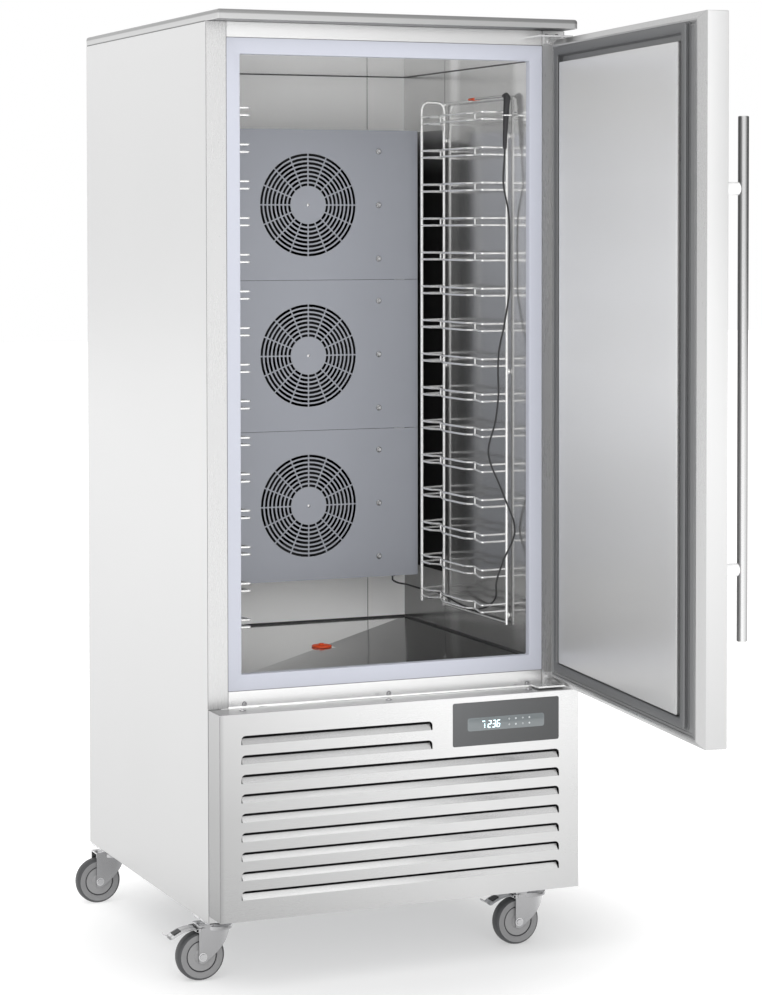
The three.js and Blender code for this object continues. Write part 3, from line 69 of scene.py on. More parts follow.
ORIGIN = Vector((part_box("side_panel_left")[0].x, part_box("front_surround")[0].y, 0))
WIDTH, DEPTH, HEIGHT = 790, 790, 1937
MIDDLE = WIDTH / 2
FACE = -68
SHEET = 1.5
HINGE = Vector((770, -34, 0))
DOOR_ANGLE = math.radians(83)
DOOR = (4, 788, 565, 1899)
PANEL = (84, 708, 616, 1848)
FRAME_OUTER = (43, 739, 589.3, 1886.5)
FRAME_INNER = (72, 710, 621.6, 1854.2)
GASKET_LINE = (57.5, 724.5, 605.45, 1870.35)
CHAMBER = (64, 724, 16.3, 670, 613.6, 1856.2)
FANS_Z = (1560.75, 1232.25, 903.75)
COVER_Y = 445
COVER_HEIGHT = 328.5
CONTROL = (503, 744, 455, 544)
WINDOW = (536, 710, 485, 512)
CASTERS = {
    "front_left": (42, 66, True),
    "front_right": (748, 66, True),
    "rear_left": (42, 748, False),
    "rear_right": (748, 748, False),
}

in_cabinet = Matrix.Translation(ORIGIN) @ Matrix.Scale(0.001, 4)
in_door = (
    in_cabinet
    @ Matrix.Translation(HINGE)
    @ Matrix.Rotation(DOOR_ANGLE, 4, "Z")
    @ Matrix.Translation(-HINGE)
)


def metres(x, y, z):
    return in_cabinet @ Vector((x, y, z))


# ---------- camera ----------

camera = bpy.data.objects.new("camera", bpy.data.cameras.new("camera"))
bpy.context.scene.collection.objects.link(camera)
bpy.context.scene.camera = camera
camera.data.lens = 97.61
camera.data.sensor_width = 36
camera.data.shift_x = 0.0362
camera.data.shift_y = -0.1784
camera.data.clip_end = 100
camera.location = metres(-1797.0, -5012.0, 1505.3)
camera.rotation_euler = (math.radians(90 - 1.9027), math.radians(0.0966), math.radians(-22.6652))

# ---------- finishes ----------


def feed(tree, socket, value):
    """Links the socket to another one, or gives it a plain value."""
    if isinstance(value, bpy.types.NodeSocket):
        tree.links.new(value, socket)
    else:
        socket.default_value = value


def add(tree, kind, inputs=None, **settings):
    """A shader node with its settings, and a value or a link for each input named."""
    made = tree.nodes.new("ShaderNode" + kind)
    for name, value in settings.items():
        setattr(made, name, value)
    for name, value in (inputs or {}).items():
        feed(tree, made.inputs[name], value)
    return made


def mixed(tree, factor, a, b, blend="MIX"):
    ends = {"Factor": factor, "A": a, "B": b}
    return add(tree, "Mix", ends, data_type="RGBA", blend_type=blend).outputs["Result"]


def maths(tree, a, b, operation):
    return add(tree, "Math", {0: a, 1: b}, operation=operation).outputs[0]


def surface(name, values):
    """A new material, its tree and its shader, with plain values on the shader's inputs."""
    look = bpy.data.materials.new(name)
    look.use_nodes = True
    shader = look.node_tree.nodes["Principled BSDF"]
    for socket, value in values.items():
        shader.inputs[socket].default_value = value
    return look, look.node_tree, shader


COAT_ROUGHNESS = 0.08
BROAD_SCALE = 3.0
RELIEF = 0.0004


def finish(
    name, colour, metal=0.0, rough=0.5, grain=None, spread=0.04, bump=0.0, size=60.0, tone=0.04, coat=0.0,
    fade=(), spec=0.5,
):
    """A surface with grain in its roughness, colour and height. grain scales the pattern along X, Y, Z.
    fade lists axes, each with stops of a share of the piece's length and a brightness: painted light and
    shade along that axis."""
    values = {"Metallic": metal, "Coat Weight": coat, "Specular IOR Level": spec}
    look, tree, shader = surface(name, {**values, "Coat Roughness": COAT_ROUGHNESS})
    place = add(tree, "TexCoord")
    stretch = add(tree, "Mapping", {"Vector": place.outputs["Object"], "Scale": grain or (1, 1, 1)})
    fine = add(tree, "TexNoise", {"Vector": stretch.outputs["Vector"], "Scale": size, "Detail": 4})
    broad = add(tree, "TexNoise", {"Vector": place.outputs["Object"], "Scale": BROAD_SCALE, "Detail": 2})
    both = maths(tree, fine.outputs["Fac"], broad.outputs["Fac"], "ADD")
    ends = {"From Min": 0.5, "From Max": 1.5, "To Min": max(rough - spread, 0.02), "To Max": rough + spread}
    feed(tree, shader.inputs["Roughness"], add(tree, "MapRange", {"Value": both, **ends}).outputs["Result"])
    dark, pale = [(*[min(c * share, 1) for c in colour], 1) for share in (1 - tone, 1 + tone)]
    paint = mixed(tree, maths(tree, both, 0.5, "MULTIPLY"), dark, pale)
    for axis, stops in fade:
        along = add(tree, "SeparateXYZ", {"Vector": place.outputs["Generated"]})
        ramp = add(tree, "ValToRGB", {"Fac": along.outputs[axis]})
        for share, _ in stops[2:]:
            ramp.color_ramp.elements.new(share)
        for point, (share, value) in zip(ramp.color_ramp.elements, stops):
            point.position = share
            point.color = (value, value, value, 1)
        paint = mixed(tree, 1, paint, ramp.outputs["Color"], "MULTIPLY")
    feed(tree, shader.inputs["Base Color"], paint)
    if bump:
        height = add(tree, "Bump", {"Height": fine.outputs["Fac"], "Strength": bump, "Distance": RELIEF})
        feed(tree, shader.inputs["Normal"], height.outputs["Normal"])
    return look


VERTICAL = (30, 30, 0.6)
LEVEL = (0.6, 30, 30)
RED = (0.72, 0.075, 0.012)


def brushed(name, grey, metal, rough, fade=(), spread=0.03, bump=0.004, tone=0.012, grain=VERTICAL):
    return finish(name, (grey, grey, grey), metal, rough, grain, spread, bump, 60, tone, fade=fade)


def brushed_level(name, grey, metal, rough, fade):
    return brushed(name, grey, metal, rough, fade, 0.015, 0.002, 0.006, LEVEL)


def satin(name, colour, metal, rough, fade=(), grain=None, spread=0.03, bump=0.0):
    return finish(name, colour, metal, rough, grain, spread, bump, 60, 0.02, fade=fade)


def moulded(name, colour, rough, spread=0.06, bump=0.05, size=300, tone=0.04, **more):
    return finish(name, colour, 0, rough, None, spread, bump, size, tone, **more)


# Painted shade: the casing steel is darker towards the floor, by a fade along Z.
casing_steel_painted_shade = brushed("brushed_steel_painted_shade", 0.79, 0.85, 0.30, [("Z", [(0, 0.60), (0.35, 0.72), (0.6, 0.81), (1, 0.92)])])
# Painted shade: the side columns of the surround darken towards the bottom, by a fade along Z.
column_steel_painted_shade = brushed(
    "brushed_steel_columns_painted_shade", 0.74, 0.85, 0.28, [("Z", [(0, 0.76), (0.3, 0.82), (1, 1)])], bump=0.003
)
# Painted shade: a darker copy of the steel for the bevels of the door skin and the sides of its inner tray.
bevel_steel_painted_shade = brushed("brushed_steel_bevel_painted_shade", 0.46, 0.85, 0.28, bump=0.003)
# Painted shade: a darker copy of the door steel for the door's flat outer face, darker still towards the
# bottom.
door_front_steel_painted_shade = brushed(
    "brushed_steel_door_front_painted_shade", 0.55, 0.6, 0.34, [("Z", [(0, 0.86), (0.35, 0.92), (1, 1)])]
)
# Painted shade: the door steel darkens towards the bottom, by a fade along Z.
door_steel_painted_shade = brushed(
    "brushed_steel_door_painted_shade", 0.78, 0.7, 0.30, [("Z", [(0, 0.62), (0.35, 0.8), (0.6, 0.93), (1, 1)])],
    spread=0.02, bump=0.003, tone=0.008,
)
# Painted light and shade: the inner panel is brightest at mid height and darker towards its top and bottom,
# by a fade along Z.
door_panel_steel_painted_light = brushed(
    "door_panel_steel_painted_light", 0.95, 0.45, 0.32, [("Z", [(0, 0.54), (0.2, 0.68), (0.5, 1), (0.8, 0.9), (1, 0.64)])],
    tone=0.015,
)
polished = brushed("polished_steel", 0.80, 0.8, 0.22, bump=0.005, tone=0.02)
# Painted reflection: dark flanks and a bright strip across the handle bar, by a fade along X.
bar_painted_reflection = [
    (0, 0.3), (0.05, 0.4), (0.11, 0.8), (0.3, 0.88), (0.5, 0.7), (0.75, 0.42), (0.95, 0.25), (1, 0.25),
]
bar_steel_painted_reflection = brushed("handle_steel_painted_reflection", 0.82, 1, 0.16, [("X", bar_painted_reflection)], bump=0.0, tone=0.04)
# Painted shade: the top cover is darker in its upper part, by a fade along Z.
lid_steel_painted_shade = brushed_level(
    "brushed_steel_lid_painted_shade", 0.62, 0.85, 0.30, [("Z", [(0, 1), (0.5, 0.97), (0.62, 0.55), (1, 0.5)])]
)
# Painted shade: the opening surround darkens near its right end and towards the bottom, by fades along X and
# Z.
surround_steel_painted_shade = brushed_level(
    "brushed_steel_surround_painted_shade", 0.97, 0.80, 0.26,
    [
        ("X", [(0, 1), (0.86, 0.95), (0.93, 0.85), (0.955, 0.4), (1, 0.45)]),
        ("Z", [(0, 0.78), (0.1, 0.8), (0.9, 1), (1, 1)]),
    ],
)
# Painted shade: the louvre blades darken towards their top and their ends, by fades along Z and X.
blade_steel_painted_shade = brushed_level(
    "brushed_steel_louvres_painted_shade", 0.93, 0.80, 0.26,
    [("Z", [(0, 1), (0.5, 0.88), (1, 0.62)]), ("X", [(0, 0.9), (0.5, 1), (1, 0.9)])],
)
# Painted light and shade: the fascia darkens at its left edge and towards the bottom and brightens towards
# the top, by fades along X and Z.
fascia_steel_painted_light = brushed_level(
    "brushed_steel_fascia_painted_light", 0.73, 0.85, 0.28,
    [
        ("X", [(0, 0.5), (0.012, 0.66), (0.3, 0.78), (0.7, 0.95), (1, 0.9)]),
        ("Z", [(0, 0.72), (0.5, 0.84), (1, 1.06)]),
    ],
)
# Painted light and shade on the liner: bright streaks along Y stand for highlights, and a fade along Z
# darkens it towards the floor.
liner_painted_highlight_streaks = [
    (0, 0.85), (0.05, 1.15), (0.1, 1.15), (0.15, 0.85), (0.53, 0.8), (0.57, 1.15), (0.6, 1.1), (0.63, 0.8),
    (1, 0.85),
]
liner_painted_shade_and_streaks = satin(
    "satin_liner_steel_painted_shade_and_streaks", (0.84, 0.84, 0.835), 0.8, 0.17,
    [("Z", [(0, 0.42), (0.4, 0.55), (0.75, 0.8), (1, 1.1)]), ("Y", liner_painted_highlight_streaks)], VERTICAL, 0.04, 0.004,
)
# Copies of the liner with painted light and shade: brighter for the back wall and the sill lip, brighter for
# the ceiling and the flat floor, darker towards the right for the slopes of the floor.
liner_painted_bright = satin("satin_liner_steel_painted_bright", (1, 1, 0.99), 0.0, 0.34, (), VERTICAL, 0.04, 0.004)
liner_ceiling_painted_bright = satin("satin_liner_steel_ceiling_painted_bright", (1, 1, 0.99), 0.6, 0.10)
liner_floor_painted_bright = satin("satin_liner_steel_floor_painted_bright", (0.97, 0.97, 0.96), 0.85, 0.10)
liner_floor_painted_shade = satin(
    "satin_liner_steel_floor_painted_shade", (0.9, 0.9, 0.89), 0.9, 0.12,
    [("X", [(0, 1), (0.25, 0.6), (0.5, 0.26), (0.7, 0.1), (1, 0.1)])],
)
cover_grey = satin("cover_steel", (0.285, 0.296, 0.327), 0.3, 0.34, (), VERTICAL, 0.04, 0.01)
wire_steel = finish("bright_wire", (0.97, 0.97, 0.96), 0.75, 0.2)
post_white = finish("handle_posts", (0.82, 0.82, 0.82), 0.3, 0.3, spread=0.03)
# Painted reflection: light and dark streaks along Y on the plated parts, by a fade.
zinc = finish(
    "zinc_plate_painted_streaks", (0.72, 0.72, 0.73), 0.9, 0.22, None, 0.05, 0.02, 90,
    fade=[("Y", [(0, 0.5), (0.25, 1), (0.4, 0.62), (0.55, 1), (0.8, 0.85), (1, 0.6)])],
)
galvanised = finish("galvanised_sheet", (0.56, 0.57, 0.58), 1, 0.42, None, 0.10, 0.05, 40, 0.12)
aluminium = finish("mill_aluminium", (0.55, 0.56, 0.57), 1, 0.40, LEVEL, 0.06, 0.05)
copper = finish("drawn_copper", (0.72, 0.36, 0.20), 1, 0.30, None, 0.08, 0.03)
# Painted shade: the evaporator's fins and frame are near black, for the shade behind the fan covers.
coil_fins_painted_shade = finish("coil_fins_painted_shade", (0.03, 0.03, 0.032), 0, 0.7, LEVEL, 0.06, 0.05, 60, 0.1, spec=0.1)
evaporator_frame_painted_shade = moulded("evaporator_frame_painted_shade", (0.05, 0.05, 0.052), 0.7, 0.06, 0.05, 60, 0.1, spec=0.1)
# Painted shade: near black up to its top edge, for boards that stand for the shade behind the covers.
shade_board_painted = moulded(
    "shade_board_painted", (0.35, 0.35, 0.355), 0.6, 0.06, 0.02, 60, 0.1, spec=0.1,
    fade=[("Z", [(0, 0.03), (0.9, 0.03), (0.97, 0.3), (1, 1)])],
)
# Painted shade: the plastic frame darkens towards the bottom and the left, by fades along Z and X.
frame_plastic_painted_shade = moulded(
    "frame_plastic", (0.50, 0.515, 0.58), 0.42, 0.05, 0.03, 300,
    fade=[("Z", [(0, 0.84), (0.2, 0.9), (1, 1)]), ("X", [(0, 0.86), (0.06, 0.92), (1, 1)])],
)
# Painted light: the touch panel's glass is lighter to the left and towards the top, by fades along X and Z.
touch_glass_painted_light = moulded(
    "panel_glass_painted_light", (0.05, 0.052, 0.054), 0.22, 0.03, 0.0, 60, 0.06, coat=0.5,
    fade=[("X", [(0, 1.1), (1, 0.5)]), ("Z", [(0, 0.8), (1, 1.1)])],
)
window_glass = moulded("window_glass", (0.13, 0.145, 0.15), 0.2, 0.03, 0.0, 60, 0.06, coat=0.5)
fan_black = moulded("fan_black", (0.012, 0.012, 0.013), 0.6, 0.06, 0.05, 200, 0.1, spec=0.15)
grey_plastic = moulded("grey_plastic", (0.19, 0.192, 0.194), 0.42, 0.05, 0.05, 300)
gasket_grey = moulded("gasket_rubber", (0.11, 0.112, 0.115), 0.55)
black_plastic = moulded("black_plastic", (0.022, 0.022, 0.024), 0.45, 0.08, 0.10, 400)
black_paint = moulded("black_paint", (0.02, 0.02, 0.02), 0.34, 0.06, 0.06, 200)
cable_black = moulded("cable_sheath", (0.02, 0.02, 0.021), 0.42, 0.06, 0.05, 500)
sealant = moulded("grey_sealant", (0.05, 0.05, 0.05), 0.5)
joint_grey = moulded("joint_grey", (0.16, 0.16, 0.165), 0.5)
red_rubber = moulded("red_rubber", RED, 0.38, tone=0.10)
tyre_grey = moulded("tyre_rubber", (0.042, 0.043, 0.045), 0.5, 0.06, 0.06, 250)
rim_grey = moulded("wheel_rim_plastic", (0.165, 0.165, 0.167), 0.42, 0.05, 0.04, 250)
wheel_grey = moulded("wheel_plastic", (0.20, 0.20, 0.202), 0.42, 0.05, 0.04, 250)
foam_cream = moulded("rigid_foam", (0.78, 0.68, 0.42), 0.85, 0.08, 0.35, 350, 0.10)


def glow(name, colour, strength):
    """A lit surface, with grain in its roughness."""
    lit = (*colour, 1)
    values = {"Base Color": lit, "Emission Color": lit, "Emission Strength": strength}
    look, tree, shader = surface(name, values)
    grain = add(tree, "TexNoise", {"Scale": 400})
    span = add(tree, "MapRange", {"Value": grain.outputs["Fac"], "To Min": 0.3, "To Max": 0.5})
    feed(tree, shader.inputs["Roughness"], span.outputs["Result"])
    return look


def tipped(look, colour, share):
    """The same surface with another colour beyond that share of its length along Y."""
    tree = look.node_tree
    shader = tree.nodes["Principled BSDF"]
    place = add(tree, "TexCoord")
    along = add(tree, "SeparateXYZ", {"Vector": place.outputs["Generated"]})
    past = maths(tree, along.outputs["Y"], share, "GREATER_THAN")
    bare = shader.inputs["Base Color"].links[0].from_socket
    feed(tree, shader.inputs["Base Color"], mixed(tree, past, bare, (*colour, 1)))
    feed(tree, shader.inputs["Metallic"], maths(tree, 1, past, "SUBTRACT"))
    return look


needle_steel = tipped(finish("needle_steel", (0.80, 0.80, 0.79), 1, 0.16), RED, 0.848)
digit_light = glow("digit_light", (0.72, 0.95, 1.0), 1.0)
icon_light = glow("icon_light", (0.42, 0.44, 0.45), 0.05)

# ---------- shapes: each is (points, faces) ----------


def polar(radius, angle):
    return radius * math.cos(angle), radius * math.sin(angle)


def around(count):
    """Each number with the next one, the last with the first."""
    return [(k, (k + 1) % count) for k in range(count)]


def rounded(points, radius, steps=5):
    """The path with an arc of that radius, or less where a run is short, at each corner."""
    points = [Vector(p) for p in points]
    path = [points[0]]
    for before, corner, after in zip(points, points[1:], points[2:]):
        back, ahead = before - corner, after - corner
        reach = min(radius, back.length * 0.45, ahead.length * 0.45)
        a, b = corner + back.normalized() * reach, corner + ahead.normalized() * reach
        for i in range(steps + 1):
            t = i / steps
            path.append((1 - t) ** 2 * a + 2 * t * (1 - t) * corner + t * t * b)
    return path + [points[-1]]


def tube(path, radius, sides=10):
    """A round tube with closed, slightly rounded ends. radius may be one number or one per point."""
    path = [Vector(p) for p in path]
    radii = list(radius) if hasattr(radius, "__len__") else [radius] * len(path)
    tangents = []
    for i in range(len(path)):
        ahead = path[min(i + 1, len(path) - 1)] - path[max(i - 1, 0)]
        tangents.append(ahead.normalized())
    side = tangents[0].orthogonal().normalized()
    points, faces = [], []
    for i, (centre, along) in enumerate(zip(path, tangents)):
        side = (side - along * side.dot(along)).normalized()
        up = along.cross(side)
        for k in range(sides):
            a, b = polar(1, 2 * math.pi * k / sides)
            points.append(centre + (side * a + up * b) * radii[i])
        if i:
            low, high = (i - 1) * sides, i * sides
            faces += [(low + k, low + n, high + n, high + k) for k, n in around(sides)]
    for ring, outward in ((0, -tangents[0]), (len(path) - 1, tangents[-1])):
        faces += [(ring * sides + k, ring * sides + n, len(points)) for k, n in around(sides)]
        points.append(path[ring] + outward * radii[ring] * 0.3)
    return points, faces


def lathe(profile, centre, axis="z", sides=32):
    """A profile of (radius, height) pairs turned round an axis. Two ends off the axis are joined."""
    points, faces, rings = [], [], []
    for r, h in profile:
        count = sides if r else 1
        rings.append(range(len(points), len(points) + count))
        points += [(*polar(r, 2 * math.pi * k / sides), h) for k in range(count)]
    pairs = list(zip(rings, rings[1:]))
    if profile[0][0] > 0 and profile[-1][0] > 0:
        pairs.append((rings[-1], rings[0]))
    for a, b in pairs:
        for k, n in around(sides):
            corners = (a[k % len(a)], a[n % len(a)], b[n % len(b)], b[k % len(b)])
            corners = tuple(dict.fromkeys(corners))
            if len(corners) > 2:
                faces.append(corners)
    turn, about = {"z": (0, "X"), "y": (-math.pi / 2, "X"), "x": (math.pi / 2, "Y")}[axis]
    turn = Matrix.Rotation(turn, 3, about)
    return [turn @ Vector(p) + Vector(centre) for p in points], faces


def stack(rings, close=False):
    """Skins rings of equal length, in order, with flat ends or closed from the last to the first."""
    count = len(rings[0])
    points = [p for ring in rings for p in ring]
    starts = [i * count for i in range(len(rings))]
    pairs = list(zip(starts, starts[1:]))
    if close:
        pairs.append((starts[-1], 0))
    faces = [(a + k, a + n, b + n, b + k) for a, b in pairs for k, n in around(count)]
    if not close:
        faces += [tuple(range(count))[::-1], tuple(range(starts[-1], len(points)))]
    return points, faces


def shell(outside, inside):
    """A closed sheet: rings outside up to a flat face, then rings inside back from another."""
    count, last = len(outside[0]), len(outside) - 1
    points, faces = stack(outside + inside, close=True)
    faces = [f for f in faces if {i // count for i in f} != {last, last + 1}]
    faces += [tuple(range(ring * count, (ring + 1) * count)) for ring in (last, last + 1)]
    return points, faces


def by_look(shape, *tests):
    """Parts of a shape: the faces that pass the first test get look 1, and so on. The rest get look 0."""
    points, faces = shape
    picks = [next((n for n, test in enumerate(tests, 1) if test(f)), 0) for f in faces]
    return [(points, [f for f, pick in zip(faces, picks) if pick == n], n) for n in range(len(tests) + 1)]


def outline(x0, x1, a0, a1, radius=0.0, steps=4):
    """A rectangle with rounded corners, as pairs. radius may be one number or one per corner."""
    radii = radius if hasattr(radius, "__len__") else [max(radius, 0.01)] * 4
    pairs = []
    for cx, ca, start, r in zip((x1, x0, x0, x1), (a1, a1, a0, a0), (0, 90, 180, 270), radii):
        mx = cx - r if cx == x1 else cx + r
        ma = ca - r if ca == a1 else ca + r
        for i in range(steps + 1):
            x, a = polar(r, math.radians(start + 90 * i / steps))
            pairs.append((mx + x, ma + a))
    return pairs


def grown(rect, d):
    return (rect[0] - d, rect[1] + d, rect[2] - d, rect[3] + d)


def standing(rect, y, radius=0.0, steps=4):
    """A rounded rectangle (x0, x1, z0, z1) upright at y."""
    return [Vector((x, y, z)) for x, z in outline(*rect, radius, steps)]


def lying(rect, z, radius=0.0, steps=4):
    """A rounded rectangle (x0, x1, y0, y1) level at z."""
    return [Vector((x, y, z)) for x, y in outline(*rect, radius, steps)]


def block(x0, x1, y0, y1, z0, z1):
    return stack([lying((x0, x1, y0, y1), z, 0.4, 1) for z in (z0, z1)])


def prism(points, axis, low, high):
    """A flat outline of pairs, extruded along an axis. The pairs are x, y or x, z or y, z."""
    order = {"z": (0, 1, 2), "y": (0, 2, 1), "x": (2, 0, 1)}[axis]
    return stack([[Vector([(a, b, h)[i] for i in order]) for a, b in points] for h in (low, high)])


def ringed(rect, rows, steps=4, close=False):
    """Upright rounded rectangles skinned in order: how far inside rect, at which Y, with which corners."""
    return stack([standing(grown(rect, -d), y, r, steps) for d, y, r in rows], close)


def screw(centre, axis, sign, radius=4.0, height=2.4):
    """A pan-head screw with a shallow round socket."""
    head = [(0.46, 0.96), (0.62, 1), (0.88, 0.7), (1, 0.25)]
    profile = [(0, 0.9), (radius * 0.42, 0.9), *[(radius * r, height * h) for r, h in head]]
    profile += [(radius, -0.3), (0, -0.3)]
    return lathe([(r, h * sign) for r, h in profile], centre, axis, 18)


# ---------- pieces ----------


def piece(
    name, parts, look, body="root", slot=None, place=None, bevel=0.0, sharp=32, stands_for=(), looks=None,
):
    """One object from shapes, in metres, riding on a body. A shape's third item picks one of looks."""
    points, faces, picks = [], [], []
    for part in parts:
        base = len(points)
        points += part[0]
        faces += [tuple(base + i for i in f) for f in part[1]]
        picks += [part[2] if len(part) > 2 else 0] * len(part[1])
    matrix = place or in_cabinet
    mesh = bpy.data.meshes.new(name)
    mesh.from_pydata([matrix @ Vector(p) for p in points], [], faces)
    for m in looks or [look]:
        mesh.materials.append(m)
    mesh.polygons.foreach_set("material_index", picks)
    tidy = bmesh.new()
    tidy.from_mesh(mesh)
    bmesh.ops.remove_doubles(tidy, verts=tidy.verts, dist=2e-6)
    bmesh.ops.recalc_face_normals(tidy, faces=tidy.faces)
    tidy.to_mesh(mesh)
    tidy.free()
    return dress(name, mesh, body, slot, bevel, sharp, stands_for)


def dress(name, mesh, body, slot, bevel, sharp, stands_for):
    """An object from a mesh, with smooth faces, sharp edges past an angle in degrees and a bevel in mm."""
    mesh.shade_smooth()
    mesh.set_sharp_from_angle(angle=math.radians(sharp))
    thing = bpy.data.objects.new(name, mesh)
    bpy.context.scene.collection.objects.link(thing)
    if bevel:
        edge = thing.modifiers.new("edge", "BEVEL")
        edge.width = bevel / 1000
        edge.segments = 2
        edge.limit_method = "ANGLE"
        edge.angle_limit = math.radians(sharp)
        edge.harden_normals = True
        edge.miter_outer = "MITER_ARC"
    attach(thing, body)
    if stands_for:
        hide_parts(*stands_for)
    return thing


def applied(thing):
    """The mesh of an object with its modifiers. The object goes."""
    bpy.context.view_layer.update()
    mesh = bpy.data.meshes.new_from_object(thing.evaluated_get(bpy.context.evaluated_depsgraph_get()))
    bpy.data.objects.remove(thing)
    return mesh


def pressed(name, part, look, slot, stands_for, bevel=0.0, sharp=32):
    """Sheet metal from its outer surface, whose first face looks forwards."""
    skin = piece(name + "_skin", [part], look, slot=slot)
    if skin.data.polygons[0].normal.y > 0:
        skin.data.flip_normals()
    thick = skin.modifiers.new("sheet", "SOLIDIFY")
    thick.thickness = SHEET / 1000
    thick.offset = -1
    thick.use_even_offset = True
    mesh = applied(skin)
    mesh.name = name
    return dress(name, mesh, "root", slot, bevel, sharp, stands_for)


def softened(node, look, width=0.8, sharp=30, slot=None):
    """A node's own shape with its edges rounded and its curved faces smooth."""
    source = frame["nodes"][node]
    mesh = source.data.copy()
    tidy = bmesh.new()
    tidy.from_mesh(mesh)
    bmesh.ops.remove_doubles(tidy, verts=tidy.verts, dist=1e-5)
    bmesh.ops.dissolve_limit(tidy, angle_limit=math.radians(0.5), verts=tidy.verts, edges=tidy.edges)
    tidy.to_mesh(mesh)
    tidy.free()
    mesh.materials.clear()
    mesh.materials.append(look)
    return dress(node + "_shown", mesh, source["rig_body"], slot, width, sharp, (node,))


# ---------- the core probe and its lead ----------

CABLE_ROUTE = [
    (704, 104, 1675.6), (703.2, 104, 1655), (701, 104, 1602), (712, 103, 1544), (715, 103, 1484),
    (714, 103, 1419), (714, 103, 1376), (702, 103, 1304), (690, 103, 1249), (688, 103, 1210),
    (689, 103, 1160), (682, 103, 1103), (665, 102, 1036), (694, 94, 953), (718, 84, 872),
    (694, 92, 806), (683, 100, 763), (685, 106, 733), (685, 118, 720), (686, 133, 713),
    (688, 160, 702), (691, 205, 692), (693, 255, 688), (694, 310, 690), (694, 360, 695),
    (691, 398, 701), (684, 424, 704.6), (669, 436, 707), (648, 437.5, 713), (626, 440, 720),
    (608, 447, 724), (600, 456.4, 730), (600, 457, 734), (600, 457, 737.7),
]


def through(points, steps=8):
    """A smooth path through the points: a centripetal spline."""
    points = [Vector(p) for p in points]
    ends = [points[0] * 2 - points[1], *points, points[-1] * 2 - points[-2]]
    path = []
    for p0, p1, p2, p3 in zip(ends, ends[1:], ends[2:], ends[3:]):
        d1, d2, d3 = [max((b - a).length ** 0.5, 1e-4) for a, b in ((p0, p1), (p1, p2), (p2, p3))]
        t1 = ((p1 - p0) / d1 - (p2 - p0) / (d1 + d2) + (p2 - p1) / d2) * d2
        t2 = ((p2 - p1) / d2 - (p3 - p1) / (d2 + d3) + (p3 - p2) / d3) * d2
        for k in range(steps):
            t = k / steps
            path.append(
                p1 * (2 * t**3 - 3 * t**2 + 1)
                + t1 * (t**3 - 2 * t**2 + t)
                + p2 * (3 * t**2 - 2 * t**3)
                + t2 * (t**3 - t**2)
            )
    return path + [points[-1]]


IN_GRIP = [(704.4, 104, 1688), (705.2, 104, 1712), (706.6, 104, 1742), (708.4, 104, 1772)]
lead_path = through(CABLE_ROUTE[::-1] + IN_GRIP)
lead = tube(lead_path, 2.0, 12)
lead = piece("probe_lead", [lead], cable_black, slot="cable_rubber", stands_for=["probe_cable"])
run = sum((b - a).length for a, b in zip(lead_path, lead_path[1:])) / 1000

GRIP = [
    ((704, 104, 1676), 3.6), ((704.2, 104, 1682), 4.0), ((704.6, 104, 1700), 4.8), ((706.5, 104, 1740), 6.0),
    ((708, 104, 1768), 6.6), ((709, 104, 1780), 7.2), ((709, 104.6, 1785.4), 7.4), ((709, 108, 1788), 6.8),
    ((709, 114, 1788), 5.2), ((709, 122, 1788), 3.4),
]
grip = tube([at for at, _ in GRIP], [radius for _, radius in GRIP], 20)
ribs = []
for i in range(4):
    lean, low = i * 0.18, 1679 + i * 5
    ribs.append(tube([(704.15 + lean, 104, low), (704.2 + lean, 104, low + 2.4)], 5.0, 18))
handle = piece(
    "probe_grip", [grip, *ribs], black_plastic, slot="black_plastic", stands_for=["probe_handle"], sharp=45
)
needle = frame["nodes"]["probe_needle"]
needle.data.materials.clear()
needle.data.materials.append(needle_steel)
gland = softened("cable_gland", black_plastic, 0.4, slot="black_plastic")

# ---------- casing ----------

for node, look, width, slot in (
    ("side_panel_left", casing_steel_painted_shade, 0.7, "stainless"),
    ("side_panel_right", casing_steel_painted_shade, 0.7, "stainless"),
    ("rear_panel", casing_steel_painted_shade, 0.5, "stainless"),
    ("base_frame", galvanised, 0.5, "galvanised"),
    ("insulation_foam", foam_cream, 0.5, "foam"),
    ("inner_liner", liner_painted_shade_and_streaks, 0.5, "liner_steel"),
    ("hinge_bracket_top", polished, 0.8, "polished_steel"),
    ("hinge_bracket_bottom", polished, 0.8, "polished_steel"),
):
    softened(node, look, width, slot=slot)
# Painted light and shade on the lining: a brighter copy at the back, a brighter copy that mirrors at the
# ceiling, a brighter copy on the flat floor and a copy darker towards the right on the slopes of its floor.
lining = bpy.data.objects["inner_liner_shown"].data
for look in (liner_painted_bright, liner_ceiling_painted_bright, liner_floor_painted_bright, liner_floor_painted_shade):
    lining.materials.append(look)
for face in lining.polygons:
    nx, ny, nz = face.normal
    if nz < -0.5:
        face.material_index = 2
    elif nz > 0.5:
        face.material_index = 4 if nx < -0.01 or ny > 0.01 else 3
    elif ny < -0.5:
        face.material_index = 1

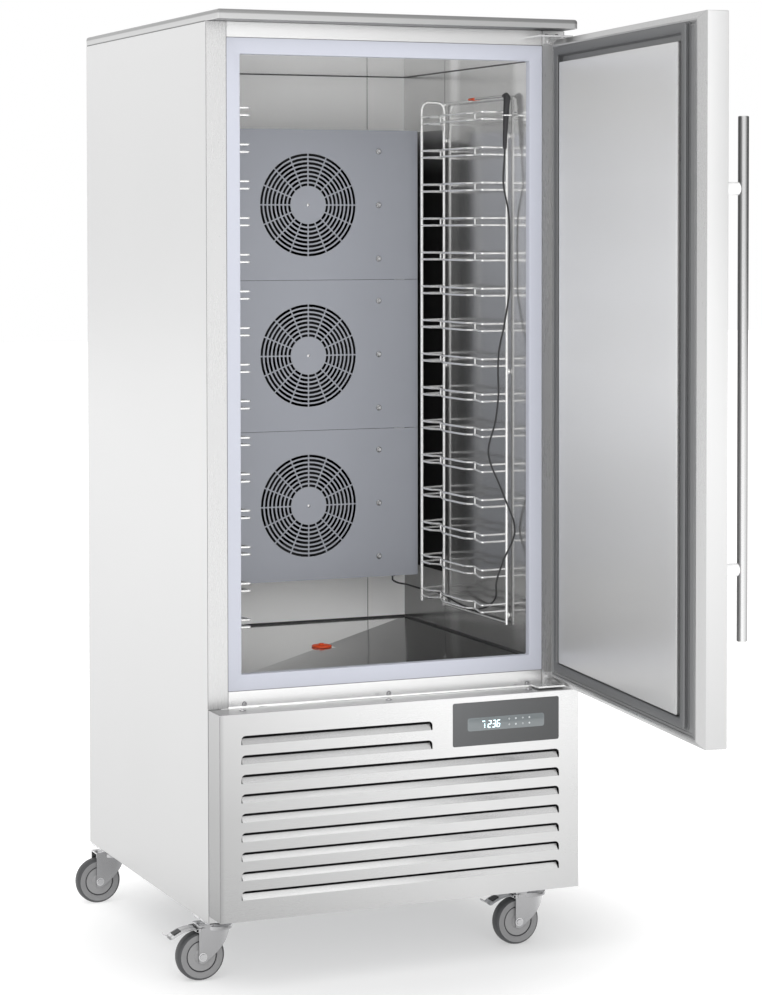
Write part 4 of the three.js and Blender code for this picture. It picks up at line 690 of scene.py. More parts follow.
SURROUND_LOW, SURROUND_TOP = 555.3, 1917.7
left, right, low, top = FRAME_OUTER
columns = [
    block(a, b, 0, SHEET, SURROUND_LOW, SURROUND_TOP)
    for a, b in ((0.3, left - 0.4), (right + 0.4, WIDTH - 0.3))
]
bands = [
    (*block(left + 0.2, right - 0.2, 0, SHEET, top + 0.3, SURROUND_TOP), 1),
    (*block(left + 0.2, right - 0.2, 0, SHEET, SURROUND_LOW, low - 0.3), 1),
    # Painted highlight: the lip at the foot of the lower band takes the bright liner copy.
    (*block(left + 0.2, right - 0.2, -1.6, SHEET, SURROUND_LOW, SURROUND_LOW + 3.2), 2),
]
piece(
    "opening_surround", columns + bands, column_steel_painted_shade, slot="stainless", stands_for=["front_surround"],
    bevel=0.4, looks=[column_steel_painted_shade, surround_steel_painted_shade, liner_painted_bright],
)


def lid_ring(inset, z):
    """The outline of the top cover: small radii at three corners and a wide one at the right front."""
    radii = [max(r - inset, 0.6) for r in (2.5, 2.5, 3.5, 12)]
    return lying((inset, WIDTH - inset, FACE + inset, DEPTH - inset), z, radii, 5)


LID_BOTTOM, LID_ROUND = HEIGHT - 19, 6
lid_edge = [(0.6, LID_BOTTOM), (0, LID_BOTTOM + 0.6), (0, HEIGHT - LID_ROUND)]
for degrees in (20, 40, 60, 75, 90):
    turn = math.radians(degrees)
    x, z = polar(LID_ROUND, turn)
    lid_edge.append((LID_ROUND - x, HEIGHT - LID_ROUND + z))
lid_inside = [(6, HEIGHT - 1.5), (3, HEIGHT - 6), (3, LID_BOTTOM)]
lid = shell([lid_ring(*at) for at in lid_edge], [lid_ring(*at) for at in lid_inside])
piece("top_cover_sheet", [lid], lid_steel_painted_shade, slot="stainless", stands_for=["top_cover"], sharp=35)
# Thin dark joints: under the top cover's left edge, at the front corners and round the plastic frame. A dark
# plate under the top cover's front is a painted shadow.
JOINT_TOP = LID_BOTTOM - 1
frame_joint = ((-0.3, -0.25), (1.1, -0.25), (1.1, 0.3), (-0.3, 0.3))
joints_and_lid_shadow = [
    # Painted shadow: a dark plate under the front of the top cover.
    block(4, WIDTH - 4, FACE + 4, -0.6, LID_BOTTOM + 0.4, LID_BOTTOM + 1.4),
    block(-0.5, 0.4, 6, DEPTH - 6, LID_BOTTOM - 1.6, LID_BOTTOM - 0.2),
    *[
        block(a, b, -0.35, 0.4, 557, JOINT_TOP)
        for a, b in ((-0.35, 0.75), (left - 0.7, left + 0.3), (right - 0.3, right + 0.7))
    ],
    block(-0.5, 0.4, FACE - 0.5, FACE + 0.6, 146, 553),
    block(-0.5, 0.4, -2.4, -0.6, 130, 553),
    block(WIDTH - 0.75, WIDTH + 0.35, -0.35, 0.4, 557, JOINT_TOP),
    stack([standing(grown(FRAME_OUTER, d), y, 1.5) for d, y in frame_joint], close=True),
]
piece("casing_joints_and_painted_lid_shadow", joints_and_lid_shadow, joint_grey, slot="black_rubber")

# The plastic frame round the opening, with a rounded inner edge.
frame_profile = [
    (FRAME_OUTER, 15.9, 1), (FRAME_OUTER, 0.4, 1), (grown(FRAME_OUTER, -0.4), 0.0, 1),
    (grown(FRAME_INNER, 3.0), 0.0, 3), (grown(FRAME_INNER, 0.9), 0.7, 3), (FRAME_INNER, 2.8, 3),
    (FRAME_INNER, 15.9, 3),
]
trim = stack([standing(*at) for at in frame_profile], close=True)
piece("frame_trim", [trim], frame_plastic_painted_shade, slot="frame_plastic", stands_for=["door_frame_trim"])

# ---------- chamber: seams, sealed corners ----------

x0, x1, y0, y1, z0, z1 = CHAMBER
SEAM_X = 631
seams = [
    block(SEAM_X - 0.7, SEAM_X + 0.7, y1 - 0.35, y1 + 0.2, z0, z1),
    block(x1 - 0.35, x1 + 0.2, 447, 448.4, z0, z1),
]
piece("liner_seams", seams, sealant, slot="black_rubber")
BEAD, FLOOR_BEAD = 1.6, 4


def bead(a, z, inwards, up, size, bulge, axis, low, high):
    """Sealant in a corner at (a, z), with its face drawn in to bulge."""
    corner = [(a, z), (a + inwards * size, z), (a + inwards * bulge, z + up * bulge), (a, z + up * size)]
    return prism(corner, axis, low, high)


beads = []
for z, up, size, bulge in ((z1, -1, BEAD, BEAD * 0.3), (z0, 1, FLOOR_BEAD, 1)):
    beads.append(bead(y1, z, -1, up, size, bulge, "x", x0, x1))
    beads.append(bead(x1, z, -1, up, size, bulge, "y", y0, y1))
    beads.append(bead(x0, z, 1, up, size, bulge, "y", y0, y1))
piece("liner_sealant", beads, sealant, slot="black_rubber")

# ---------- racks ----------

LEVELS, LEVEL_PITCH, TOP_WIRE, WIRE_GAP = 15, 74.4, 1754, 15
RACK_TOP, RACK_LOW, RACK_FRONT, RACK_BACK = 1784, 668, 121, 438
RAIL_BACK = 420
HOOK_Z = 1746.5
GRIP_X, GRIP_Y, GRIP_LOW, GRIP_TOP = 704, 104, 1676, 1774


def rack(side):
    """One rack: two bent wires at each level, on a frame that stands off the wall by six feet."""
    wall = x1 if side > 0 else x0
    post = wall - side * 7
    rail = MIDDLE + side * 260
    notch = rail + side * 16
    top, low, back = RACK_TOP, RACK_LOW, RAIL_BACK
    plan = [
        (post, RACK_FRONT), (rail, 115), (notch, 180), (rail, 196), (rail, 305), (notch, 355), (rail, 371),
        (rail, back), (post, RACK_BACK),
    ]
    parts = []
    for level in range(LEVELS):
        upper = TOP_WIRE - level * LEVEL_PITCH
        for z in (upper, upper - WIRE_GAP):
            parts.append(tube(rounded([(x, y, z) for x, y in plan], 5, 4), 2.4, 8))
        for y in (180, 355):
            parts.append(tube([(notch, y, upper - WIRE_GAP), (notch, y, upper)], 2.2, 8))
    last_wire = TOP_WIRE - (LEVELS - 1) * LEVEL_PITCH - WIRE_GAP
    arch = [(post, RACK_FRONT, low), (post, RACK_FRONT, top), (post, RACK_BACK, top), (post, RACK_BACK, low)]
    hoop = [(rail, back, last_wire - 12), (rail, back, top + 3), (post, 436, top + 3), (post, 436, top - 60)]
    foot = [(rail, back, last_wire - 8), (post, RACK_BACK, last_wire - 8)]
    parts.append(tube(rounded(arch, 12, 6), 3.5, 12))
    parts.append(tube(rounded(hoop, 22, 8), 3.4, 12))
    parts.append(tube(rounded(foot, 2), 2.4, 10))
    parts.append(tube([(post, RACK_FRONT, low + 4), (post, RACK_BACK, low + 4)], 2.6, 10))
    pad = [(0, -1), (6, -1), (6, 0.4), (4, 1.6), (0, 1.6)]
    for z in (top - 80, (top + low) / 2 - 20, low + 20):
        for y in (RACK_FRONT, RACK_BACK):
            parts.append(tube([(post, y, z), (wall - side * 0.4, y, z)], 2.4, 10))
            parts.append(lathe(pad, (wall - side * 1.4, y, z), "x", 16))
    if side > 0:
        parts.append(probe_hook(post))
    return parts


def probe_hook(post):
    """A wire from the front post round the grip of the probe."""
    share = (HOOK_Z - GRIP_LOW) / (GRIP_TOP - GRIP_LOW)
    reach = 4 + 2.2 * share + 2.2
    far, near = GRIP_X + 5 * share - reach - 1.2, GRIP_Y - reach - 1.2
    plan = [(post, RACK_FRONT), (post, near), (far, near), (far, GRIP_Y + 3)]
    return tube(rounded([(x, y, HOOK_Z) for x, y in plan], 5, 5), 1.7, 10)


piece("wire_rack_left", rack(-1), wire_steel, slot="wire", stands_for=["rack_left"], sharp=50)
piece("wire_rack_right", rack(1), wire_steel, slot="wire", stands_for=["rack_right"], sharp=50)

# ---------- fan covers ----------

SPOKES, SLOTS = 16, 8
HUB, RIM = 40, 114
SPOKE_HALF, CUTS = 1.45, 3
COVER_HALF, COVER_FOLD = 261, 18
COVER_SCREW_X, COVER_SCREW_Z = 167, 118


def fan_cover(index):
    """The pressed cover of one fan: a plate with a round grille of slots, its returned edges and screws."""
    cz = FANS_Z[index]
    centre = Vector((MIDDLE, COVER_Y, cz))
    top = cz + COVER_HEIGHT / 2
    low = top - COVER_HEIGHT + 0.8
    left, right = MIDDLE - COVER_HALF, MIDDLE + COVER_HALF
    radii = [HUB]
    for start in [HUB + slot * (RIM - HUB) / SLOTS for slot in range(SLOTS)]:
        radii += [start + 1.6, start + 7.2]
    radii += [RIM + 2]
    points, count = [], SPOKES * (CUTS + 1)
    for r in radii:
        for spoke in range(SPOKES):
            edge = SPOKE_HALF / r
            a0, a1 = 2 * math.pi * spoke / SPOKES + edge, 2 * math.pi * (spoke + 1) / SPOKES - edge
            for k in range(CUTS + 1):
                x, z = polar(r, a0 + (a1 - a0) * k / CUTS)
                points.append(Vector((MIDDLE + x, COVER_Y, cz + z)))
    links = around(count)
    faces = []
    for ring in range(len(radii) - 1):
        a, b = ring * count, (ring + 1) * count
        is_slot = ring % 2 == 1
        faces += [(a + k, a + n, b + n, b + k) for k, n in links if not is_slot or k % (CUTS + 1) == CUTS]
    faces += [(len(points), k, n) for k, n in links]
    points.append(centre)
    # From the last ring the plate goes out to its edges, with a point at each corner.
    last = (len(radii) - 1) * count
    border = []
    for k in range(count):
        p = points[last + k] - centre
        across = COVER_HALF / abs(p.x) if abs(p.x) > 1e-6 else math.inf
        along = ((top - cz) if p.z > 0 else (cz - low)) / abs(p.z) if abs(p.z) > 1e-6 else math.inf
        reach = min(across, along)
        border.append(Vector((MIDDLE + p.x * reach, COVER_Y, cz + p.z * reach)))
    for x, z in ((right, top), (left, top), (left, low), (right, low)):
        corner = Vector((x, COVER_Y, z))
        nearest = min(range(count), key=lambda k: (border[k] - corner).length)
        border[nearest] = corner
    start = len(points)
    points += border
    faces += [(last + k, last + n, start + n, start + k) for k, n in links]

    end = {0: top, 2: low}.get(index, math.inf)

    def folded(p, q):
        """Whether an edge is bent back: the sides of each cover, and the far ends of the three."""
        on_side = abs(p.x - q.x) < 1e-3 and abs(abs(p.x - MIDDLE) - COVER_HALF) < 1e-3
        return on_side or max(abs(p.z - end), abs(q.z - end)) < 1e-3

    behind = {}
    for k, n in links:
        if folded(border[k], border[n]):
            for j in (k, n):
                if j not in behind:
                    behind[j] = len(points)
                    points.append(border[j] + Vector((0, COVER_FOLD, 0)))
            faces.append((start + k, start + n, behind[n], behind[k]))
    number = str(index + 1)
    pressed("fan_cover_plate_" + number, (points, faces), cover_grey, "cover_steel", ["fan_cover_" + number])
    heads = [
        screw((MIDDLE + dx, COVER_Y, cz + dz), "y", -1, 7.0, 3.6)
        for dx in (-COVER_SCREW_X, COVER_SCREW_X)
        for dz in (-COVER_SCREW_Z, 0, COVER_SCREW_Z)
    ]
    rivet = lathe([(0, -1.6), (2.2, -1.4), (3.6, -0.6), (4, 0.2), (0, 0.2)], (MIDDLE, COVER_Y, cz), "y", 18)
    piece("cover_screws_" + number, heads + [rivet], zinc, slot="zinc")


for i in range(3):
    fan_cover(i)
    softened("fan_motor_%d" % (i + 1), fan_black, 0.6, slot="black_paint")
    softened("fan_rotor_%d" % (i + 1), fan_black, 0.4, slot="black_plastic")
# The evaporator frame and coil take near-black looks: painted shade behind the covers.
softened("evaporator_frame", evaporator_frame_painted_shade, 0.3, slot="galvanised")
softened("evaporator_coil", coil_fins_painted_shade, 0.4, slot="aluminium")
# Painted shade: dark boards along both walls behind the covers, where the chamber is in shade.
painted_shade_boards = [block(a, b, 448.5, 667, 742, 1728) for a, b in ((x0 + 0.6, x0 + 1.8), (x1 - 1.8, x1 - 0.6))]
piece("evaporator_painted_shade_boards", painted_shade_boards, shade_board_painted, slot="galvanised")

# ---------- drain ----------

DRAIN = (MIDDLE, 372, 604.6)
plug_profile = [
    (0, -12), (13, -12), (15, -10.6), (15.3, 0.3), (21, 0.6), (22, 1.4), (21.4, 3.2), (19, 4.0), (14, 4.2),
    (9, 4.4), (6.2, 5.2), (5.6, 7.0), (4.4, 7.8), (0, 8.0),
]
plug_parts = [lathe(plug_profile, DRAIN, "z", 32)]
for k in range(6):
    rib = []
    for r, z in ((7, 608.4), (18, 608.0)):
        x, y = polar(r, math.radians(30 + 60 * k))
        rib.append((DRAIN[0] + x, DRAIN[1] + y, z))
    plug_parts.append(tube(rib, 1.3, 8))
piece("plug_moulding", plug_parts, red_rubber, "plug", "red_rubber", stands_for=["drain_plug"])
softened("drain_pipe", grey_plastic, 0.4, slot="grey_plastic")

# ---------- front ----------

LOUVRES, LOUVRE_PITCH, LOUVRE_TOP, LOUVRE_HEIGHT = 9, 38.5, 512, 18
LOUVRE_DEPTH, LOUVRE_CORNER, AIR_GAP, END_GAP, BLADE_SHEET = 8, 9, 6.6, 2.6, 1.2
FASCIA = (0, WIDTH, 144, 555)


def louvre_spans():
    for i in range(LOUVRES):
        top = LOUVRE_TOP - LOUVRE_PITCH * i
        yield 45, 458 if i < 2 else 745, top - LOUVRE_HEIGHT, top


def fascia():
    """The outer surface of the lower front: a face with its louvre openings, and the four returned edges."""
    x0, x1, z0, z1 = FASCIA
    loops = [[(x0, z0), (x1, z0), (x1, z1), (x0, z1)]]
    for left, right, low, top in louvre_spans():
        arc = [polar(LOUVRE_CORNER, math.radians(18 * k)) for k in range(6)]
        up = [(left, low)] + [(left + LOUVRE_CORNER - x, top - LOUVRE_CORNER + z) for x, z in arc]
        loops.append(up + [(left + right - x, z) for x, z in up[::-1]])
    points = [Vector((x, FACE, z)) for loop in loops for x, z in loop]
    flat = [[Vector((x, z, 0)) for x, z in loop] for loop in loops]
    faces = [tuple(tri) for tri in mathutils.geometry.tessellate_polygon(flat)]
    ring = len(points)
    for y in (FACE, -1.8):
        points += [Vector((x, y, z)) for x, z in loops[0]]
    faces += [(ring + k, ring + n, ring + 4 + n, ring + 4 + k) for k, n in around(4)]
    return points, faces


def louvre_blades():
    """Each opening has a blade that leaves the face at its lower edge and leans in, short of the top."""
    for left, right, low, top in louvre_spans():
        row = []
        for t in [k / 6 for k in range(7)]:
            y = FACE + 0.1 + LOUVRE_DEPTH * t * (1.25 - 0.25 * t)
            row.append((y, low + (LOUVRE_HEIGHT - AIR_GAP) * t))
        loop = row + [(y + BLADE_SHEET, z) for y, z in row[::-1]]
        yield prism(loop, "x", left + END_GAP, right - END_GAP)


pressed("fascia_sheet", fascia(), fascia_steel_painted_light, "stainless", ["front_fascia"], bevel=0.7, sharp=14)
piece("fascia_louvres", list(louvre_blades()), blade_steel_painted_shade, slot="stainless", sharp=40)
# Painted shade: black sheets behind the louvre openings stand for the dark inside.
louvre_shade_sheets = [block(a, b, FACE + 22, FACE + 25, 158, top) for a, b, top in ((24, 480, 530), (480.5, 766, 448))]
piece("louvre_painted_shade_sheets", louvre_shade_sheets, fan_black, slot="black_plastic")
softened("condenser_coil", aluminium, 0.4, slot="aluminium")
LEDGE_SCREWS = [(x, -30, 555) for x in (62, 378, 694)]
BAND_SCREWS = [(x, 0, 562.5) for x in (77, 391, 705)]
heads = [screw(at, "z", 1, 4.6, 2.8) for at in LEDGE_SCREWS]
heads += [screw(at, "y", -1, 4.0, 2.8) for at in BAND_SCREWS]
heads += [screw((x, HINGE.y - 6, 1906.2), "z", 1, 3.6, 2.0) for x in (728, 752)]
piece("fascia_screws", heads, zinc, slot="zinc")
washers = [lathe([(0, 0.5), (6.6, 0.5), (7, -0.2), (0, -0.2)], at, "z", 20) for at in LEDGE_SCREWS]
washers += [lathe([(0, -0.5), (5, -0.5), (5.4, 0.2), (0, 0.2)], at, "y", 20) for at in BAND_SCREWS]
piece("fascia_washers", washers, joint_grey, slot="black_rubber")

# The touch panel: a glass plate with a slightly proud, rounded display strip.
glass = ringed(CONTROL, [(0, FACE + 4, 4), (0, FACE - 0.3, 4), (0.5, FACE - 0.8, 3.6)], 5)
housing = ringed(CONTROL, [(9, FACE + 3.9, 2), (9, FACE + 33, 2)], 3)
piece("touch_panel", [glass, housing], touch_glass_painted_light, slot="dark_panel", stands_for=["control_panel"])
strip = ringed(WINDOW, [(0, FACE + 2, 5), (0, FACE - 0.8, 5), (0.4, FACE - 1.05, 4.7)], 5)
piece("display_strip", [strip], window_glass, slot="display", stands_for=["display_window"])

SEGMENTS = {"2": "abged", "3": "abgcd", "6": "afgedc"}
DIGIT_LOW, DIGIT_WIDTH, DIGIT_HEIGHT, STROKE, LEAN = 490.6, 6.0, 13.5, 1.7, 0.14
LIT, LIT_BACK = FACE - 1.25, FACE - 1.0


def digit(char, x):
    """A seven-segment figure, leaning slightly."""
    low, far = DIGIT_LOW, x + DIGIT_WIDTH
    top, middle = low + DIGIT_HEIGHT, low + DIGIT_HEIGHT / 2
    ends = [(x, top), (far, top), (far, middle), (far, low), (x, low), (x, middle)]
    runs = {"a": (0, 1), "b": (1, 2), "c": (2, 3), "d": (4, 3), "e": (5, 4), "f": (0, 5), "g": (5, 2)}
    bars = []
    for key in SEGMENTS[char]:
        a, b = [Vector((px + LEAN * (pz - low), 0, pz)) for px, pz in (ends[k] for k in runs[key])]
        along = (b - a).normalized() * STROKE
        a, b = a + along * 0.35, b - along * 0.35
        side = Vector((-along.z, 0, along.x)) / 2
        corners = [a - along / 2, a + side, b + side, b + along / 2, b - side, a - side]
        bars.append(stack([[Vector((p.x, y, p.z)) for p in corners] for y in (LIT_BACK, LIT)]))
    return bars


figures = [bar for char, x in (("2", 581.5), ("3", 591.5), ("6", 601.5)) for bar in digit(char, x)]
figures.append(block(569.0, 575.0, LIT, LIT_BACK, 502.8, 504.8))
for i in range(3):
    dot = DIGIT_LOW + 3.2 * i
    figures.append(block(573.2, 575.4, LIT, LIT_BACK, dot, dot + 1.6))
piece("display_figures", figures, digit_light, slot="display")
icons = []
for i, x in enumerate((630, 645, 661, 676)):
    for z in (493.5, 505):
        if i % 2:
            icons.append(lathe([(0, -1.25), (1.9, -1.25), (1.9, -0.95), (0, -0.95)], (x, FACE, z), "y", 16))
        else:
            for a, b in ((2.2, 0.6), (0.6, 2.2)):
                icons.append(block(x - a, x + a, LIT, FACE - 0.95, z - b, z + b))
piece("touch_icons", icons, icon_light, slot="display")

# ---------- cooling unit ----------

for node, look, slot in (
    ("compressor", black_paint, "black_paint"),
    ("condenser_fan_motor", galvanised, "galvanised"),
    ("condenser_fan_rotor", aluminium, "aluminium"),
    ("liquid_receiver", black_paint, "black_paint"),
    ("refrigerant_pipe", copper, "copper"),
    ("electrical_box", galvanised, "galvanised"),
):
    softened(node, look, 0.8, slot=slot, sharp=40)

# ---------- door ----------


def door_piece(name, parts, look, slot, **options):
    return piece(name, parts, look, "door", slot, in_door, **options)


SKIN_OUT = [
    (16.2, -12.0, 1.5), (13.4, -12.0, 2.0), (12.4, -12.6, 2.0), (0.8, -25.0, 2.5), (0, -26.4, 2.5),
    (0, -66.0, 2.5), (0.4, -67.3, 2.4), (1.6, -68.0, 2.0),
]
SKIN_IN = [(3.0, -66.5, 1.0), (1.5, -65.5, 1.0), (1.5, -26.8, 1.0), (14.0, -13.5, 1.0), (16.2, -13.5, 1.0)]
TRAY_OUT = [
    (0.0, -15.0, 3), (0.0, -13.5, 3), (0.4, -3.6, 3), (0.8, -2.7, 3), (1.6, -2.2, 3), (3.0, -2.0, 3),
    (40, -1.9, 3),
]
TRAY_IN = [(9.2, -3.5, 5), (5.8, -3.9, 6), (1.6, -15.0, 8)]
BEVEL_RINGS = 5


def sheet_of(rect, outside, inside, steps):
    """A door sheet from rows of inset, Y and corner radius, with a test for the faces of its first rings
    and one for its flat face."""
    out, back = [[standing(grown(rect, -d), y, r, steps) for d, y, r in rows] for rows in (outside, inside)]
    count, last = len(out[0]), len(out) - 1

    def is_first(f):
        return max(f) < BEVEL_RINGS * count

    def is_flat(f):
        return {i // count for i in f} == {last}

    return shell(out, back), is_first, is_flat


skin, is_bevel, is_front = sheet_of(DOOR, SKIN_OUT, SKIN_IN, 4)
door_piece(
    "door_skin", by_look(skin, is_bevel, is_front), door_steel_painted_shade, "stainless", stands_for=["door_outer_panel"],
    sharp=25, looks=[door_steel_painted_shade, bevel_steel_painted_shade, door_front_steel_painted_shade],
)
softened("door_foam", foam_cream, 0.4, slot="foam")

# The plastic edge profile: two ribs near the steel, then a flat land under the gasket and up to the panel.
STRIP = [
    (-16.3, -15.0), (-16.3, -11.8), (-17.2, -11.2), (-19.4, -11.2), (-20.2, -13.0), (-22.6, -13.0),
    (-23.4, -11.4), (-25.6, -11.4), (-26.4, -12.4),
]
strip = [standing(grown(DOOR, d), y, 2, 3) for d, y in STRIP]
strip += [standing(grown(PANEL, d), y, 2, 3) for d, y in ((1.4, -12.4), (0.3, -13.2), (0.3, -15.0))]
strip = stack(strip, close=True)
door_piece(
    "door_edge_strip", [strip], grey_plastic, "grey_plastic", stands_for=["door_edge_profile"], sharp=25
)
# The magnetic gasket: a foot, a folded bellows and a flat lip.
BELLOWS = [
    (-11, -12.2), (-11, -10.2), (-6.5, -9.4), (-8.6, -7.4), (-5.2, -5.8), (-8.4, -4.2), (-8.0, -1.6),
    (-7.2, -1.0),
]
bellows = [(d, y, 6) for d, y in BELLOWS] + [(-d, y, 6) for d, y in BELLOWS[::-1]]
bellows = ringed(GASKET_LINE, bellows, 4, close=True)
door_piece("door_seal", [bellows], gasket_grey, "gasket", stands_for=["door_gasket"], sharp=50)
tray, is_side, _ = sheet_of(PANEL, TRAY_OUT, TRAY_IN, 6)
door_piece(
    "door_inner_tray", by_look(tray, is_side), door_panel_steel_painted_light, "polished_steel",
    stands_for=["door_inner_panel"], sharp=25, looks=[door_panel_steel_painted_light, bevel_steel_painted_shade],
)

BAR_X, BAR_Y, BAR_LOW, BAR_TOP = 55, FACE - 51, 752, 1712
bar = [(0, BAR_LOW), (8.8, BAR_LOW), (10, BAR_LOW + 1.2), (10, BAR_TOP - 1.2), (8.8, BAR_TOP), (0, BAR_TOP)]
bar = lathe(bar, (BAR_X, BAR_Y, 0), "z", 32)
oval = [polar(1, 2 * math.pi * k / 28) for k in range(28)]
posts = [
    prism([(BAR_X + 7 * a, z + 12 * b) for a, b in oval], "y", BAR_Y + 5, FACE - 0.4) for z in (884, 1580)
]
door_piece("handle_bar", [bar], bar_steel_painted_reflection, "polished_steel", stands_for=["door_handle"], sharp=30)
door_piece("handle_posts", posts, post_white, "polished_steel", sharp=30)

# ---------- casters: profiles are (radius, height) ----------

TRAIL, AXLE_Z = 38, 50
PLATE_TOP, PLATE_HALF, BOLT_REACH = 127.7, 41, 32
LEG_INSIDE, LEG_SHEET = 17.5, 3
LEG_OUTSIDE = LEG_INSIDE + LEG_SHEET
BEND_BACK, BEND_REACH = 8, 12
WHEEL_HALF = 15
PIN_Z = 105
RACE = [
    (0, 107.4), (9, 107.4), (10.5, 108.4), (10.5, 111.2), (6, 111.2), (6, 114.7), (22, 114.7), (25, 116.2),
    (27, 119.5), (27.4, 123.9), (0, 123.9),
]
BOLT = [(0, 118.4), (5, 118.4), (5.8, 119.4), (5.8, 123.8), (0, 123.8)]
CROWN = [(6.5, 111.4), (6.5, 114.4), (20, 114.4), (24.5, 113.6), (26.4, 111.4)]
BOWL = [(26.8, 101.5), (29.6, 102.4), (30.8, 106), (29.8, 110), (26.8, 112.4)]


def spline(points, steps=6):
    """The x, z pairs of a smooth curve."""
    return [(p.x, p.z) for p in through([(a, 0, b) for a, b in points], steps)]


def both_sides(profile):
    """The profile and its mirror image on the other side of the wheel."""
    return profile + [(r, -h) for r, h in profile[::-1] if h]


def fork(place, x, y):
    """A sheet bent round the swivel and cut to its side view, where each leg narrows to a round end."""
    body = "swivel_" + place
    wx, back = x - TRAIL, x - BEND_BACK
    turns = [math.radians(a) for a in range(12, 180, 12)]
    bend = [(wx - 8, -LEG_OUTSIDE), (back, -LEG_OUTSIDE)]
    bend += [(back + (LEG_OUTSIDE + BEND_REACH) * math.sin(t), -LEG_OUTSIDE * math.cos(t)) for t in turns]
    bend += [(back, LEG_OUTSIDE), (wx - 8, LEG_OUTSIDE)]
    shrink = (LEG_INSIDE + BEND_REACH) / (LEG_OUTSIDE + BEND_REACH)
    inner = [(a if a <= back else back + (a - back) * shrink, b * LEG_INSIDE / LEG_OUTSIDE) for a, b in bend]
    wall = stack([[Vector((a, y + b, z)) for a, b in bend + inner[::-1]] for z in (30, 113.6)])
    roof = stack([[Vector((a, y + b, z)) for a, b in bend] for z in (111.4, 114.2)])
    end = [math.radians(a) for a in range(190, 331, 14)]
    side = [(wx - 9.5, 118), *spline([(wx - 9.5, 100), (wx - 12.5, 74), (wx - 13.2, 52)], 4)]
    side += [(wx + 13.2 * math.cos(t), AXLE_Z + 13.2 * math.sin(t)) for t in end]
    side += spline([(wx + 14.5, 45), (wx + 33, 60), (x + 11, 78), (x + 22, 96), (x + 27, 112)], 5)
    side += [(x + 27, 118)]
    blank = piece("fork_blank_" + place, [wall, roof], zinc, body, "zinc")
    template = piece("fork_side_" + place, [prism(side, "y", y - 60, y + 60)], zinc, body)
    trim = blank.modifiers.new("trim", "BOOLEAN")
    trim.operation = "INTERSECT"
    trim.object = template
    trim.solver = "EXACT"
    trim.use_self = True
    cut = applied(blank)
    bpy.data.objects.remove(template)
    dress("caster_yoke_" + place, cut, body, "zinc", 0.7, 28, ["caster_fork_" + place])


def caster(place, x, y, braked):
    wx = x - TRAIL
    edge = (x - PLATE_HALF, x + PLATE_HALF, y - PLATE_HALF, y + PLATE_HALF)
    plate = stack([lying(edge, z, 6, 5) for z in (PLATE_TOP - 4, PLATE_TOP)])
    bolts = [
        lathe(BOLT, (x + a * BOLT_REACH, y + b * BOLT_REACH, 0), "z", 6) for a in (-1, 1) for b in (-1, 1)
    ]
    piece(
        "caster_top_" + place, [plate, lathe(RACE, (x, y, 0), "z", 36), *bolts], zinc, "root", "zinc",
        stands_for=["caster_plate_" + place], bevel=0.5,
    )
    fork(place, x, y)
    # The axle has a nut with six sides at one end and a round head at the other.
    ends = []
    for sign, sides in ((-1, 20), (1, 6)):
        face = y + sign * LEG_OUTSIDE
        heights = [(0, -1), (9, -1), (9, 1.0), (6.5, 1.2), (6.5, 4), (0, 4)]
        ends.append(lathe([(r, face + sign * h) for r, h in heights], (wx, 0, AXLE_Z), "y", sides))
    low, high = y - LEG_INSIDE - 1, y + LEG_INSIDE + 1
    axle = lathe([(0, low), (5.6, low), (5.6, high), (0, high)], (wx, 0, AXLE_Z), "y", 20)
    rings = [lathe(profile, (x, y, 0), "z", 36) for profile in (CROWN, BOWL)]
    piece("caster_axle_" + place, [*rings, axle, *ends], zinc, "swivel_" + place, "zinc", bevel=0.3)

    w, hub = WHEEL_HALF, (wx, y, AXLE_Z)
    tyre = [(44, w - 3), (44, w - 0.6), (46.5, w - 1.8), (49, w - 5.5), (50, w - 9.5), (50, 0)]
    disc = [(6.2, w + 1), (13, w + 1), (14.5, w - 0.5), (16, w - 2.4), (29.6, w - 2.2), (29.8, w - 4)]
    disc.append((31, w - 4))
    rim = [(30.8, w - 4), (32.2, w - 4), (32.4, w - 1.4), (36, w - 0.6), (44.2, w - 0.5)]
    groove = [[(29.6, h), (29.6, h + 0.5), (32.4, h + 0.5), (32.4, h)] for h in (w - 3.4, 3 - w)]
    rounds = [(both_sides(disc), 48, 0), (both_sides(tyre), 56, 1), *[(line, 48, 2) for line in groove]]
    rounds.append((both_sides(rim), 56, 3))
    parts = [(*lathe(profile, hub, "y", sides), look) for profile, sides, look in rounds]
    piece(
        "caster_roller_" + place, parts, wheel_grey, "wheel_" + place, "wheel_rubber",
        stands_for=["caster_wheel_" + place], looks=[wheel_grey, tyre_grey, black_plastic, rim_grey],
    )
    if braked:
        brake(place, wx, y)


